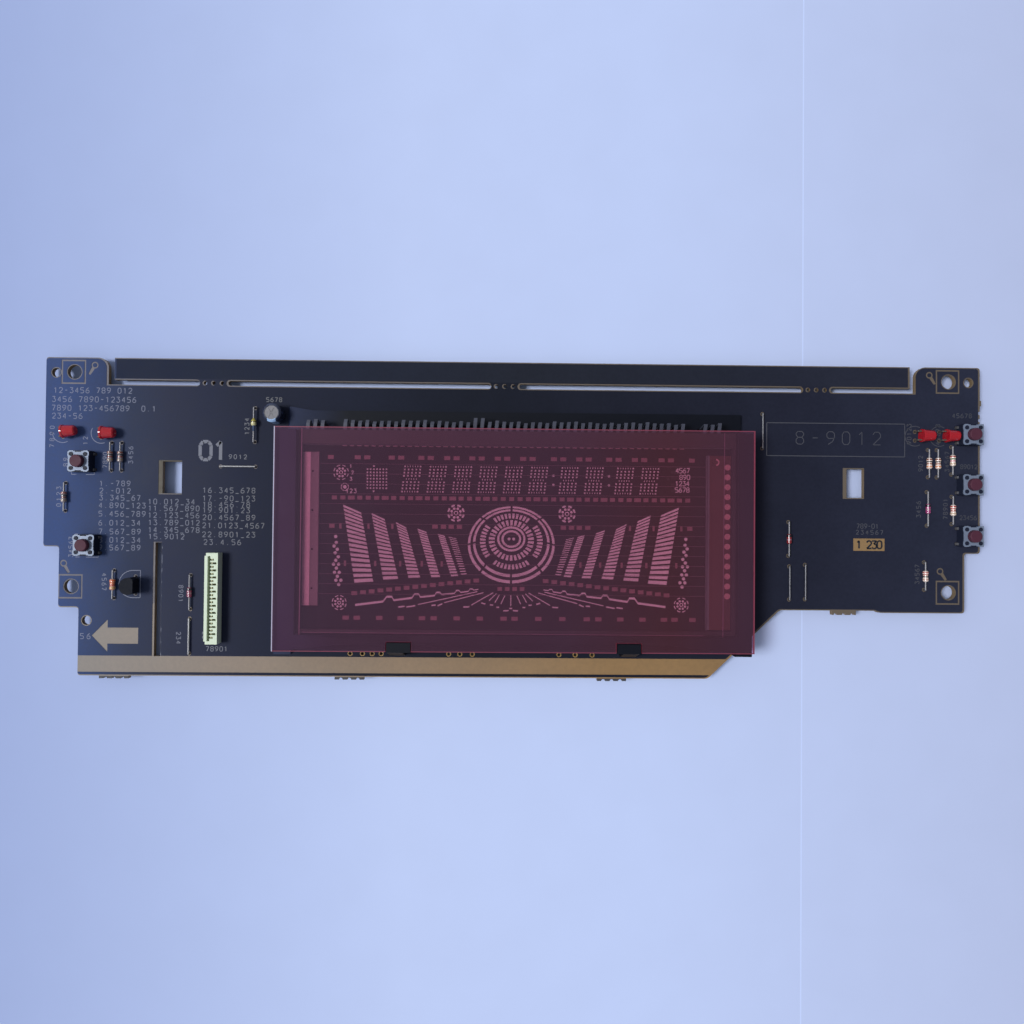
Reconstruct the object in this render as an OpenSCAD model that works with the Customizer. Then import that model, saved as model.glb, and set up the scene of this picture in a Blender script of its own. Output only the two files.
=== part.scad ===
// Front panel display board: a printed circuit board that carries a vacuum fluorescent display
// under a red filter, five push switches, four lamps, a flat cable connector and small parts.
// Length runs along X, depth along Y, and Z points up from the solder side to the component side.
// The origin is at the middle of the footprint, on the surface that the cut lead ends stand on.

/* [Board] */
// Length of the board
board_w = 270.9; // [270:0.1:290]
// Depth of the board, without the broken tabs
board_h = 91.2; // [91:0.1:100]
// Thickness of the laminate
board_t = 1.6; // [1:0.1:2.4]
// Length of a cut lead below the board
pin_out = 2.2; // [2:0.1:3.5]
// Rounding of the outer corners
corner_r = 0.7; // [0.3:0.1:1]

/* [Ears and rail] */
// Width of the left ear
ear_w_left = 17.8; // [16:0.1:19]
// Width of the right ear
ear_w_right = 19; // [17:0.1:20]
// Gap between an ear and the rail
ear_gap = 1.7; // [1:0.1:2.5]
// Rounding of an ear beside its gap
ear_r = 3; // [1:0.1:4]
// Depth of the rail along the top edge
rail_h = 6.3; // [4:0.1:7]
// Width of the routed slot below the rail
rail_slot = 1.4; // [1:0.1:1.8]
// Length of a bridge between the rail and the board
bridge_w = 8.1; // [7:0.1:10]
// Distance of the end bridges from the board's ends
bridge_in = 48; // [40:1:60]
// Shift of the middle bridge from the board's middle
bridge_shift = -3.5; // [-8:0.5:8]
// Diameter of a breakaway hole
bite_d = 1.1; // [0.8:0.1:1.4]
// Pitch of the breakaway holes
bite_pitch = 2.45; // [2:0.05:2.8]

/* [Steps of the outline] */
// Distance of the first steps below the top edge
step1_y = 54.4; // [53:0.1:56]
// Width of the first left step
step1_left = 4.5; // [3:0.1:5]
// Width of the first right step
step1_right = 4.6; // [3:0.1:6]
// Distance of the second steps below the top edge
step2_y = 71.8; // [71:0.1:74]
// Distance of the lower left edge from the left end
step2_left = 10.3; // [9:0.1:12]
// Length of the right foot's deeper end, from the right end
foot_w = 29.9; // [26:0.1:34]
// Amount that the foot's deeper end stands below the rest
foot_drop = 0.6; // [0.3:0.1:1]
// Start of the slanted edge, from the right end
slant_x = 58.7; // [56:0.1:62]
// Run of the slanted edge for each millimetre of its drop
slant_run = 1.05; // [0.9:0.05:1.2]
// Width of a broken tab
tab_w = 8.4; // [7:0.1:9]
// Amount that a broken tab stands out
tab_out = 0.8; // [0.5:0.1:1.2]
// Amount that the right end's broken tab stands out
side_tab_out = 0.4; // [0.2:0.1:0.8]

/* [Holes and windows] */
// Diameter of a fixing hole
screw_d = 4; // [3:0.1:4.6]
// Spacing of the fixing holes along the board
screw_dx = 253.5; // [250:0.5:254]
// Spacing of the fixing holes across the board
screw_dy = 61.6; // [60:0.1:63]
// Distance of the left fixing holes from the left end
screw_in = 8.1; // [7:0.1:9]
// Distance of the upper fixing holes from the top edge
screw_down = 4.2; // [4:0.1:6]
// Diameter of a locating hole
locate_d = 2.6; // [2:0.1:2.8]
// Length of the sensor windows across the board
window_h = 9.2; // [8.8:0.1:10]
// Width of the left window
window_w_left = 5.5; // [5:0.1:6.4]
// Width of the right window
window_w_right = 5.1; // [4.8:0.1:6.4]
// Width of the long slot
long_slot_w = 1.8; // [1.5:0.1:3]
// Length of the long slot
long_slot_h = 32.6; // [20:0.1:33]
// Clearance around each lead in its hole
lead_gap = 0.12; // [0.05:0.01:0.2]

/* [Print and copper] */
// Thickness of the black print
print_t = 0.08; // [0.05:0.01:0.15]
// Distance that the print stays back from an edge
print_back = 0.3; // [0.3:0.05:0.8]
// Sideways shift of the whole print
print_shift = -0.25; // [-0.28:0.01:0]
// Distance from the lower edge to the bare strip
strip_up = 1.05; // [0.8:0.05:1.2]
// Height of the bare strip along the lower edge
strip_h = 4.65; // [3:0.05:4.8]
// Width of the bare ring round a fixing or locating hole
hole_ring = 0.25; // [0.1:0.05:0.4]
// Width of the bare ring round the lead of a small part
lead_ring = 0.34; // [0.2:0.02:0.4]
// Width of the bare strip on the left of each window
window_bare = 0.9; // [0:0.1:1.2]
// Side of the printed square round a fixing hole
square_w = 7; // [6:0.1:7.2]
// Width of a printed line
line_w = 0.45; // [0.3:0.05:0.6]
// Thickness of the copper and of the mask beside it
copper_t = 0.05; // [0.03:0.01:0.1]
// Radius of a solder joint
joint_r = 0.62; // [0.58:0.01:0.64]
// Radius of a solder joint under the cable connector
conn_joint_r = 0.46; // [0.42:0.01:0.5]

/* [Display] */
// Distance of the display's centre from the left end
display_x = 134.9; // [133:0.1:150]
// Distance of the display's centre below the top edge
display_y = 51.4; // [51.2:0.1:52]
// Length of the filter
filter_w = 133.5; // [132:0.5:136]
// Depth of the filter
filter_h = 62; // [61:0.5:63]
// Thickness of the filter
filter_t = 1.4; // [1:0.1:2]
// Width of a notch in the filter
notch_w = 7; // [6.5:0.1:9]
// Depth of a notch in the filter
notch_h = 2.7; // [2.4:0.1:3]
// Distance of a notch from the display's centre
notch_x = 31.9; // [26:0.1:36]
// Length of the display glass
glass_w = 123.2; // [122.6:0.1:124]
// Depth of the display glass
glass_h = 57; // [56:0.1:57.4]
// Height of the back glass above the board
glass_lift = 2.6; // [2:0.1:4]
// Thickness of the back glass
back_t = 2.4; // [1.5:0.1:3]
// Thickness of the front glass
front_t = 2; // [1.5:0.1:3]
// Height of the glass wall between them
wall_h = 1.15; // [1:0.05:2]
// Width of the glass wall
wall_w = 1; // [0.8:0.1:2]
// Width of the glass wall above the leads
wall_lead = 4; // [3:0.1:4.4]
// Gap between the front glass and the filter
filter_gap = 0.2; // [0.1:0.1:1]
// Distance that the holder's walls stand in from the filter's edges
holder_in = 0.3; // [0.2:0.1:0.6]
// Distance that the holder's flange reaches past the filter, below the leads
flange_out = 5.7; // [4:0.1:6]
// Thickness of the holder's flange
flange_h = 1; // [0.8:0.1:1.2]
// Clearance between the glass and the holder
glass_gap = 0.2; // [0.1:0.05:0.3]

/* [Display leads] */
// Distance of the outermost leads from the glass ends
pin_side = 3.385; // [3.2:0.005:4]
// Number of leads in the long row
pin_count = 48; // [20:2:48]
// Number of leads in each end group
end_pins = 3; // [1:1:3]
// Distance from the long row to an end group
end_pin_gap = 6.4; // [4:0.1:6.6]
// Thickness of the lead frame
pin_t = 0.25; // [0.15:0.05:0.3]
// Width of a lead outside the glass
pin_w = 1; // [0.6:0.05:1.1]
// Width of a lead in its hole
pin_foot_w = 0.5; // [0.3:0.05:0.6]
// Distance that the leads stand out from the glass
pin_reach = 1.7; // [1.6:0.1:2]

/* [Display pattern] */
// Thickness of the dark print on the back glass
ink_t = 0.04; // [0.03:0.01:0.08]
// Thickness of the phosphor
phosphor_t = 0.06; // [0.04:0.01:0.1]
// Number of bars in each level column
bar_count = 17; // [8:1:20]
// Share of a bar's pitch that the bar fills
bar_fill = 0.65; // [0.4:0.05:0.8]
// Pitch of the characters
char_pitch = 7.17; // [6.6:0.01:7.3]
// Pitch of the dots down a character
dot_pitch = 0.89; // [0.8:0.01:0.95]
// Side of a character dot
dot_w = 0.58; // [0.35:0.01:0.6]
// Number of filament wires
filament_count = 14; // [6:1:16]
// Pitch of the filament wires
filament_pitch = 2.81; // [2.4:0.01:2.9]
// Diameter of a filament wire
filament_d = 0.1; // [0.06:0.01:0.14]

/* [Cable connector] */
// Distance of the connector's middle from the left end
conn_x = 49.2; // [48:0.1:50]
// Distance of the connector's middle below the top edge
conn_y = 68.7; // [67:0.1:70]
// Number of contacts
conn_count = 23; // [11:2:23]
// Pitch of the contacts
conn_pitch = 1; // [0.95:0.01:1.02]
// Width of the connector housing
conn_w = 3.75; // [3.6:0.05:4.4]
// Height of the connector housing
conn_h = 3.6; // [3.2:0.1:5]
// Width of the cable slot
cable_slot = 0.75; // [0.6:0.05:0.8]
// Thickness of a contact
contact_t = 0.3; // [0.2:0.02:0.34]

/* [Push switches] */
// Side of a switch
switch_w = 6; // [5.8:0.1:6.2]
// Height of a switch base
switch_h = 3.2; // [3:0.1:4]
// Thickness of a switch cover
cover_t = 0.25; // [0.2:0.05:0.4]
// Diameter of a button
button_d = 3.5; // [3:0.1:3.8]
// Height of a button above its cover
button_h = 1.5; // [1:0.1:6]
// Travel of a button
button_travel = 0.25; // [0.15:0.05:0.3]
// Spacing of a switch's legs along its side
leg_pitch = 4.5; // [4.2:0.1:4.6]

/* [Lamps] */
// Diameter of a lamp's rim
lamp_rim_d = 3.8; // [3.4:0.1:4]
// Diameter of a lamp's body beside its rim
lamp_d = 3.5; // [3:0.1:3.6]
// Length of a lamp
lamp_len = 3.9; // [3.5:0.1:4]
// Height of a lamp's axis above the board
lamp_z = 1.95; // [1.95:0.05:3]
// Spacing of a lamp's leads
lamp_pitch = 2.54; // [2:0.01:2.6]

/* [Small parts] */
// Span between a resistor's lead ends
resistor_span = 8; // [7.6:0.1:8.4]
// Length of a resistor's body
resistor_len = 3.2; // [3:0.1:4]
// Diameter of a resistor's body at its ends
resistor_d = 1.6; // [1.5:0.05:2]
// Span between a diode's lead ends
diode_span = 9.8; // [9.4:0.1:10.2]
// Length of a diode's body
diode_len = 2.8; // [2.6:0.1:4]
// Diameter of a diode's body
diode_d = 1.4; // [1.3:0.05:2]
// Diameter of a lead or jumper wire
wire_d = 0.5; // [0.4:0.05:0.6]
// Height of a lying wire's axis above the board
wire_z = 0.6; // [0.4:0.1:1]
// Clearance between a lying body and the board
lie_gap = 0.1; // [0:0.05:0.3]
// Diameter of the upright capacitor
cap_d = 5.3; // [4:0.1:5.4]
// Height of the upright capacitor
cap_h = 5; // [4:0.5:11]
// Diameter of the transistor
transistor_d = 4.8; // [4.4:0.1:5]
// Height of the transistor's body
transistor_h = 4; // [3.5:0.1:5]
// Height of the transistor's body above the board
transistor_z = 1; // [0.8:0.1:2]
// Side of the driver chip under the board
chip_w = 14; // [10:0.5:16]
// Thickness of the driver chip
chip_t = 1.4; // [1:0.1:1.5]
// Leads along each side of the driver chip
chip_pins = 20; // [8:1:20]
// Pitch of the driver chip's leads
chip_pitch = 0.65; // [0.5:0.01:0.66]

/* [Hidden] */
$fn = 32;
eps = 0.01;
tab_root = 0.3;
edge_l = -(board_w + side_tab_out) / 2;
edge_r = edge_l + board_w;
edge_t = (board_h + tab_out) / 2;
edge_b = edge_t - board_h;
board_z = pin_out;
top_z = board_z + board_t;
face_z = top_z + print_t;
mask_z = board_z - copper_t;
slot_line = edge_t - rail_h - rail_slot / 2;

// Middles of the bridges, from the board's middle line
bridges = [edge_l + bridge_in, (edge_l + edge_r) / 2 + bridge_shift, edge_r - bridge_in];
// Left ends of the broken tabs along the lower edge, from the left end
lower_tabs = [16.4, 83.6, 159.2];
// Left end of the broken tab on the right foot, from the right end, and its width
foot_tab = [43.4, 7];
// Distance of the right end's broken lump below the top edge, and its height
side_lump = [9.6, 1.6];
// Half holes in the right end, below the top edge
side_bites = [13.3, 15.4];
// Locating holes: distance from the left end, the right end and the left end, and from the top
locate_spots = [[edge_l + 2.9, edge_t - 4.4], [edge_r - 3.4, edge_t - 4.4],
                [edge_l + 12.6, edge_t - 75.5]];
// Window middles
window_left = [edge_l + 36.4, edge_t - 34.3];
window_right = [edge_r - 36.7, edge_t - 34.2];
// Middle of the long slot
long_slot_at = [edge_l + 32.8, edge_t - 69.3];
screws = [for (i = [0, 1], j = [0, 1])
    [edge_l + screw_in + i * screw_dx, edge_t - screw_down - j * screw_dy]];
// Middle of the display, and the sides and top of its filter
disp = [edge_l + display_x, edge_t - display_y];
side_l = disp[0] - filter_w / 2;
side_r = disp[0] + filter_w / 2;
side_t = disp[1] + filter_h / 2;

// Switch middles, two at the left end and three at the right end
switch_in = 3.9;
switch_spots = [[edge_l + 11.3, edge_t - 30.1], [edge_l + 13.1, edge_t - 53.9],
                [edge_r - switch_in, edge_t - 19.9], [edge_r - switch_in, edge_t - 34.4],
                [edge_r - switch_in, edge_t - 49.3]];
// Lamps: middle of the two leads, and the turn of the lamp seen from above
lamp_spots = [[edge_l + 5, edge_t - 21.7, 6], [edge_l + 16, edge_t - 21.8, 0],
              [edge_r - 19.2, edge_t - 20.2, 0], [edge_r - 12, edge_t - 20.2, 0]];
// Resistor middles, all lying across the board
resistor_spots = [[edge_l + 19, edge_t - 28.5], [edge_l + 21.9, edge_t - 28.5],
                  [edge_l + 6.1, edge_t - 40.2], [edge_l + 20.3, edge_t - 65.1],
                  [edge_r - 15.4, edge_t - 28.2], [edge_r - 12.8, edge_t - 28.2],
                  [edge_r - 8.5, edge_t - 27.3], [edge_r - 8.4, edge_t - 41.8],
                  [edge_r - 16.5, edge_t - 61]];
// Diode middles, all lying across the board
diode_spots = [[edge_l + 42.1, edge_t - 67.2], [edge_r - 15.7, edge_t - 41.4],
               [side_r + 12.95, edge_t - 50.5]];
// Jumper wires: middle, span and turn
jumper_spots = [[side_l - 12.95, edge_t - 31, 10, 0], [edge_l + 42, edge_t - 79.8, 10, 90],
                [side_r + 5.25, edge_t - 19.2, 10, 90], [side_r + 13.25, edge_t - 63.3, 9.6, 90],
                [side_r + 17.85, edge_t - 63, 10, 90]];
// Middle of the bead capacitor
bead_spot = [side_l - 8.25, edge_t - 19];
// Middle of the upright capacitor and the spacing of its leads
cap_spot = [side_l - 2.15, side_t + 4.4];
cap_pitch = 2;
// Middle of the transistor and the spacing of its holes
transistor_spot = [edge_l + 26.4, edge_t - 65.3];
transistor_pitch = 2.5;
// Middle of the driver chip, under the display
chip_spot = [edge_l + 118, edge_t - 50];
// Unused holes below the display, from its centre
spare_x = [-46.9, -43.4, -40.6, -38, -18.6, -15.4, -11.8, 13.2, 17.9, 22.8];
spare_y = -33.1;
spare_d = 0.9;

// Heights of the display's layers, and the middle of its glass from the display's centre
glass_at = [0.8, 2.1];
back_z = face_z + glass_lift;
seal_z = back_z + back_t;
wall_z = seal_z + pin_t;
front_z = wall_z + wall_h;
filter_z = front_z + front_t + filter_gap;
glass_top = glass_at[1] + glass_h / 2;
glass_low = glass_at[1] - glass_h / 2;
room = [glass_w - 2 * wall_w, glass_h - wall_w - wall_lead];
room_at = glass_at + [0, (wall_w - wall_lead) / 2];
room_top = room_at[1] + room[1] / 2;
room_low = room_at[1] - room[1] / 2;
pin_row_x = -0.4;
pin_row_y = glass_top + pin_reach - pin_t / 2;
pin_in = 0.2;
pin_pitch = (glass_w - 2 * pin_side - 2 * end_pin_gap) / (pin_count + 2 * end_pins - 3);
pin_xs = concat([for (k = [0 : pin_count - 1]) pin_row_x + (k - (pin_count - 1) / 2) * pin_pitch],
    [for (s = [-1, 1], k = [0 : end_pins - 1])
        pin_row_x + s * ((pin_count - 1) / 2 * pin_pitch + end_pin_gap + k * pin_pitch)]);
holder_x = filter_w / 2 - holder_in;
holder_top = filter_h / 2 - 0.6;
holder_low = filter_h / 2 - holder_in;
// Middle of the shown pattern, from the display's centre, and the room that it is drawn for
pattern_at = [-0.9, -0.2];
pattern_room = [121.2, 52];
ink_z = seal_z + ink_t;
filament_top = room_top - 5.5;
filament_ys = [for (k = [0 : filament_count - 1]) filament_top - k * filament_pitch];
filament_z = wall_z + 0.65 * wall_h;
anchor_t = 0.15;

wire_r = wire_d / 2;
pad_out = 0.09;
mask_out = 0.14;
leg_w = 0.7;
leg_t = 0.3;
leg_r = sqrt(leg_w * leg_w + leg_t * leg_t) / 2;
foot_r = sqrt(pin_foot_w * pin_foot_w + pin_t * pin_t) / 2;
tail_w = 0.4;
tail_r = sqrt(tail_w * tail_w + contact_t * contact_t) / 2;
conn_at = [edge_l + conn_x, edge_t - conn_y];
conn_len = (conn_count - 1) * conn_pitch + 3.8;
conn_floor = 0.6;
slot_x = -conn_w / 2 + 0.87;
tail_near = slot_x + cable_slot + 0.75;
tail_far = tail_near + 0.75;

// Everything that is soldered through the board: place, lead radius and joint radius
function ends(spot, span) = [[spot[0], spot[1] + span / 2], [spot[0], spot[1] - span / 2]];
function round_leads(list) = [for (p = list) [p[0], p[1], wire_r, joint_r]];
switch_leads = [for (s = switch_spots, i = [-1, 1], j = [-1, 1])
    [s[0] + i * (switch_w + leg_t) / 2, s[1] + j * leg_pitch / 2, leg_r, joint_r]];
lamp_feet = round_leads([for (s = lamp_spots, j = [-1, 1])
    [s[0] - sin(s[2]) * j * lamp_pitch / 2, s[1] + cos(s[2]) * j * lamp_pitch / 2]]);
axial_leads = round_leads(concat([for (s = resistor_spots) each ends(s, resistor_span)],
    [for (s = diode_spots) each ends(s, diode_span)], ends(bead_spot, diode_span)));
jumper_leads = round_leads([for (s = jumper_spots, j = [-1, 1])
    [s[0] + cos(s[3]) * j * s[2] / 2, s[1] + sin(s[3]) * j * s[2] / 2]]);
upright_leads = round_leads(concat([for (j = [-1, 1]) cap_spot + [0, j * cap_pitch / 2]],
    [for (j = [-1, 0, 1]) transistor_spot + [0, j * transistor_pitch]]));
conn_leads = [for (k = [0 : conn_count - 1])
    [conn_at[0] + (k % 2 == 0 ? tail_near : tail_far),
     conn_at[1] + (k - (conn_count - 1) / 2) * conn_pitch, tail_r, conn_joint_r]];
display_pins = [for (x = pin_xs) [disp[0] + x, disp[1] + pin_row_y, foot_r, joint_r]];
round_ones = concat(lamp_feet, axial_leads, jumper_leads, upright_leads);
part_leads = concat(switch_leads, round_ones);
all_leads = concat(part_leads, conn_leads, display_pins);
zone_left = [for (p = part_leads) if (p[0] < window_left[0]) p];
zone_connector = concat(conn_leads,
    [for (p = part_leads) if (p[0] > window_left[0] && p[0] < disp[0]) p]);
zone_middle = [for (p = part_leads) if (p[0] > disp[0] && p[0] < window_right[0]) p];
zone_right = [for (p = part_leads) if (p[0] > window_right[0]) p];

black = [0.08, 0.08, 0.1];
steel = [0.72, 0.74, 0.76];
tin = [0.78, 0.78, 0.76];

// Shared shapes

// Unit vector of v
function unit(v) = v / norm(v);

// Corner points p, each eased with three points that lie within c of the corner
function eased(p, c) = [for (k = [0 : len(p) - 1])
    let (a = unit(p[(k + len(p) - 1) % len(p)] - p[k]), b = unit(p[(k + 1) % len(p)] - p[k]))
    each [p[k] + c * a, p[k] + 0.29 * c * (a + b), p[k] + c * b]];

// Points on an ellipse arc round c, from angle a0 to a1 in n steps
function arc(c, rx, ry, a0, a1, n) = [for (i = [0 : n])
    let (a = a0 + (a1 - a0) * i / n) [c[0] + rx * cos(a), c[1] + ry * sin(a)]];

// Backwards copy of a list
function turned(p) = [for (i = [len(p) - 1 : -1 : 0]) p[i]];

// A box that is centred in X and Y and stands on z
module block(x, y, w, h, z, t) {
    translate([x - w / 2, y - h / 2, z]) cube([w, h, t]);
}

// One straight piece of wire from a to b
module rod(a, b, r) {
    v = b - a;
    translate(a)
        rotate([0, acos(v[2] / norm(v)), atan2(v[1], v[0])])
            cylinder(r = r, h = norm(v));
}

// A wire through the points p, with a ball at each bend
module wire(p, r) {
    for (i = [0 : len(p) - 2]) rod(p[i], p[i + 1], r);
    for (i = [1 : len(p) - 2]) translate(p[i]) sphere(r = r);
}

// Board

// Corners of the board, with every edge moved in by d
function board_corners(d) = let (
    drop = board_h - step2_y + foot_drop, low = edge_t - step2_y, s = 0.41 * d) [
    [edge_l + d, edge_t - d],
    [edge_r - d, edge_t - d],
    [edge_r - d, edge_t - step1_y + d],
    [edge_r - step1_right - d, edge_t - step1_y + d],
    [edge_r - step1_right - d, low + d],
    [edge_r - foot_w + d, low + d],
    [edge_r - foot_w + d - foot_drop, low + foot_drop + d],
    [edge_r - slant_x - s, low + foot_drop + d],
    [edge_r - slant_x - slant_run * drop - s, edge_b + d],
    [edge_l + step2_left + d, edge_b + d],
    [edge_l + step2_left + d, low + d],
    [edge_l + step1_left + d, low + d],
    [edge_l + step1_left + d, edge_t - step1_y + d],
    [edge_l + d, edge_t - step1_y + d]
];

// A slot with round ends along the rail, whose ends are centred on x0 and x1
module rail_slot_2d(x0, x1, d) {
    r = rail_slot / 2 + d;
    polygon(concat(arc([x0, slot_line], r, r, 270, 90, 10), arc([x1, slot_line], r, r, 90, -90, 10)));
}

// The gap beside an ear, whose ear side is at x, with the slot that runs from it to x_end.
// Its ear corner is rounded, and dir is 1 where the gap runs to the right
module ear_gap_2d(x, dir, x_end, d) {
    r = rail_slot / 2 + d;
    translate([x, 0])
        mirror([dir < 0 ? 1 : 0, 0])
            polygon(concat(
                [[ear_gap + d, edge_t + 1], [ear_gap + d, slot_line + r]],
                arc([dir * (x_end - x), slot_line], r, r, 90, -90, 10),
                [[-d, slot_line - r]],
                arc([-ear_r, edge_t - ear_r], ear_r - d, ear_r - d, 0, 84, 8),
                [[-ear_r, edge_t - d + 0.02], [-ear_r, edge_t + 1]]));
}

// Everything that is routed out of the plate, widened by d
module routing_2d(d) {
    half = bridge_w / 2 + rail_slot / 2;
    ear_gap_2d(edge_l + ear_w_left, 1, bridges[0] - half, d);
    ear_gap_2d(edge_r - ear_w_right, -1, bridges[2] + half, d);
    rail_slot_2d(bridges[0] + half, bridges[1] - half, d);
    rail_slot_2d(bridges[1] + half, bridges[2] - half, d);
    for (b = bridges, k = [-1 : 1])
        translate([b + k * bite_pitch, slot_line]) circle(d = bite_d + d);
    translate(window_left) square([window_w_left + 2 * d, window_h + 2 * d], center = true);
    translate(window_right) square([window_w_right + 2 * d, window_h - 0.8 + 2 * d], center = true);
    translate(long_slot_at) square([long_slot_w + 2 * d, long_slot_h + d], center = true);
}

// Half holes of the break-off line in the right end
module side_bites_2d() {
    for (y = side_bites) translate([edge_r, edge_t - y]) circle(d = bite_d);
}

// A broken tab of width w that stands out below y by out, with three half holes
module broken_tab(x, y, w, out) {
    difference() {
        translate([x, y - out, 0]) cube([w, out + tab_root, board_t]);
        for (k = [-1 : 1])
            translate([x + w / 2 + k * bite_pitch, y - out, -1]) cylinder(d = bite_d, h = board_t + 2);
    }
}

// The plate and its broken tabs, before the round holes
module plate() {
    linear_extrude(board_t)
        difference() {
            polygon(eased(board_corners(0), corner_r));
            routing_2d(0);
            side_bites_2d();
        }
    for (x = lower_tabs) broken_tab(edge_l + x, edge_b, tab_w, tab_out);
    broken_tab(edge_r - foot_tab[0], edge_t - step2_y + foot_drop, foot_tab[1], 1.6 * tab_out);
    translate([edge_r - tab_root, edge_t - side_lump[0] - side_lump[1], 0])
        cube([tab_root + side_tab_out, side_lump[1], board_t]);
}

module circuit_board() {
    color([0.55, 0.45, 0.3])
        difference() {
            translate([0, 0, board_z]) plate();
            for (p = screws) translate([p[0], p[1], board_z - 1]) cylinder(d = screw_d, h = board_t + 2);
            for (p = locate_spots)
                translate([p[0], p[1], board_z - 1]) cylinder(d = locate_d, h = board_t + 2);
            for (p = all_leads)
                translate([p[0], p[1], board_z - 1]) cylinder(r = p[2] + lead_gap, h = board_t + 2);
            for (x = spare_x)
                translate([disp[0] + x, disp[1] + spare_y, board_z - 1])
                    cylinder(d = spare_d, h = board_t + 2);
        }
}

// A thin square ring of side w round the middle
module ring_square(w) {
    difference() {
        square(w, center = true);
        square(w - 2 * line_w, center = true);
    }
}

// A small picture of a screw, pointing down: a ring for its head, and its shaft
module screw_mark() {
    difference() {
        circle(r = 1);
        circle(r = 0.6);
    }
    polygon([[-0.5, -0.95], [0.5, -0.95], [0.35, -3.1], [-0.35, -3.1]]);
}

// The arrow, with its tip at the left
module arrow_2d() {
    half = 2.3;
    head = [4.5, 4.65];
    polygon([[0, 0], [head[0], head[1]], [head[0], half], [13.2, half], [13.2, -half], [head[0], -half],
             [head[0], -head[1]]]);
}

// Bare places in the black print that are not holes
module print_marks_2d() {
    translate([edge_l, edge_b + strip_up]) square([board_w, strip_h]);
    translate([edge_l + 14.45, edge_b + 11.4]) arrow_2d();
    for (p = screws) translate(p) ring_square(square_w);
    translate([edge_r - 37, edge_t - 53.8]) square([9.2, 3.6]);
    translate(screws[0] + [6, 2]) rotate(-30) screw_mark();
    translate(screws[1] + [-2, 6.6]) rotate(30) screw_mark();
    translate(screws[2] + [-5.4, 1.9]) rotate(32) screw_mark();
    translate(screws[3] + [-2.2, 6.2]) rotate(34) screw_mark();
    for (w = [[window_left, window_w_left, window_h], [window_right, window_w_right, window_h - 0.8]])
        translate(w[0] - [w[1] / 2 + window_bare, w[2] / 2 + print_back])
            square([w[1] / 2 + window_bare, w[2] + 2 * print_back]);
}

module board_print() {
    color([0.13, 0.14, 0.2])
        translate([0, 0, top_z])
            linear_extrude(print_t)
                difference() {
                    translate([print_shift, 0])
                        difference() {
                            polygon(eased(board_corners(print_back), corner_r));
                            routing_2d(print_back);
                            print_marks_2d();
                        }
                    for (p = screws) translate(p) circle(d = screw_d + 2 * hole_ring);
                    for (p = locate_spots) translate(p) circle(d = locate_d + 2 * hole_ring);
                    for (p = concat(switch_leads, conn_leads, display_pins))
                        translate([p[0], p[1]]) circle(r = p[2] + lead_gap);
                    for (p = round_ones) translate([p[0], p[1]]) circle(r = p[2] + lead_ring);
                    for (x = spare_x) translate(disp + [x, spare_y]) circle(d = spare_d + 0.5);
                }
}

module solder_mask() {
    color([0.16, 0.3, 0.2])
        translate([0, 0, mask_z])
            linear_extrude(copper_t)
                difference() {
                    polygon(eased(board_corners(print_back), corner_r));
                    routing_2d(print_back);
                    for (p = screws) translate(p) circle(d = screw_d + 2 * hole_ring);
                    for (p = locate_spots) translate(p) circle(d = locate_d + 2 * hole_ring);
                    for (p = all_leads) translate([p[0], p[1]]) circle(r = p[3] + mask_out);
                }
}

// A flat copper ring round each lead hole
module copper_pads() {
    color([0.72, 0.45, 0.25])
        translate([0, 0, mask_z])
            for (p = all_leads)
                translate([p[0], p[1], 0])
                    difference() {
                        cylinder(r = p[3] + pad_out, h = copper_t);
                        translate([0, 0, -1]) cylinder(r = p[2] + lead_gap, h = 2);
                    }
}

// One solder joint of radius r: a hollow cone of solder that ends in the cut lead
module solder_joint(r) {
    rotate_extrude()
        polygon([[0, mask_z], [r, mask_z], [0.62 * r, 0.7 * mask_z], [0.45 * r, 0.4 * mask_z],
                 [0.4 * r, 0], [0, 0]]);
}

module solder_joints(list) {
    color(tin) for (p = list) translate([p[0], p[1], 0]) solder_joint(p[3]);
}

module solder_joints_left() { solder_joints(zone_left); }

module solder_joints_connector() { solder_joints(zone_connector); }

module solder_joints_display() { solder_joints(display_pins); }

module solder_joints_middle() { solder_joints(zone_middle); }

module solder_joints_right() { solder_joints(zone_right); }

// Display, in coordinates from the display's centre

module on_display(z) {
    translate([disp[0], disp[1], z]) children();
}

// Pocket of the holder; z is measured from the board's print
module holder_cuts() {
    top = filter_z - face_z;
    side = glass_w / 2 + glass_gap;
    ledge = 2.5;
    low = glass_low - glass_gap;
    // Room for the glass, open toward the leads
    translate([glass_at[0] - side, low, glass_lift]) cube([2 * side, 2 * holder_x, top]);
    // Opening in the floor
    translate([glass_at[0] - side + ledge, low + ledge, -1])
        cube([2 * (side - ledge), glass_h - 2 * ledge, top]);
}

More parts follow.
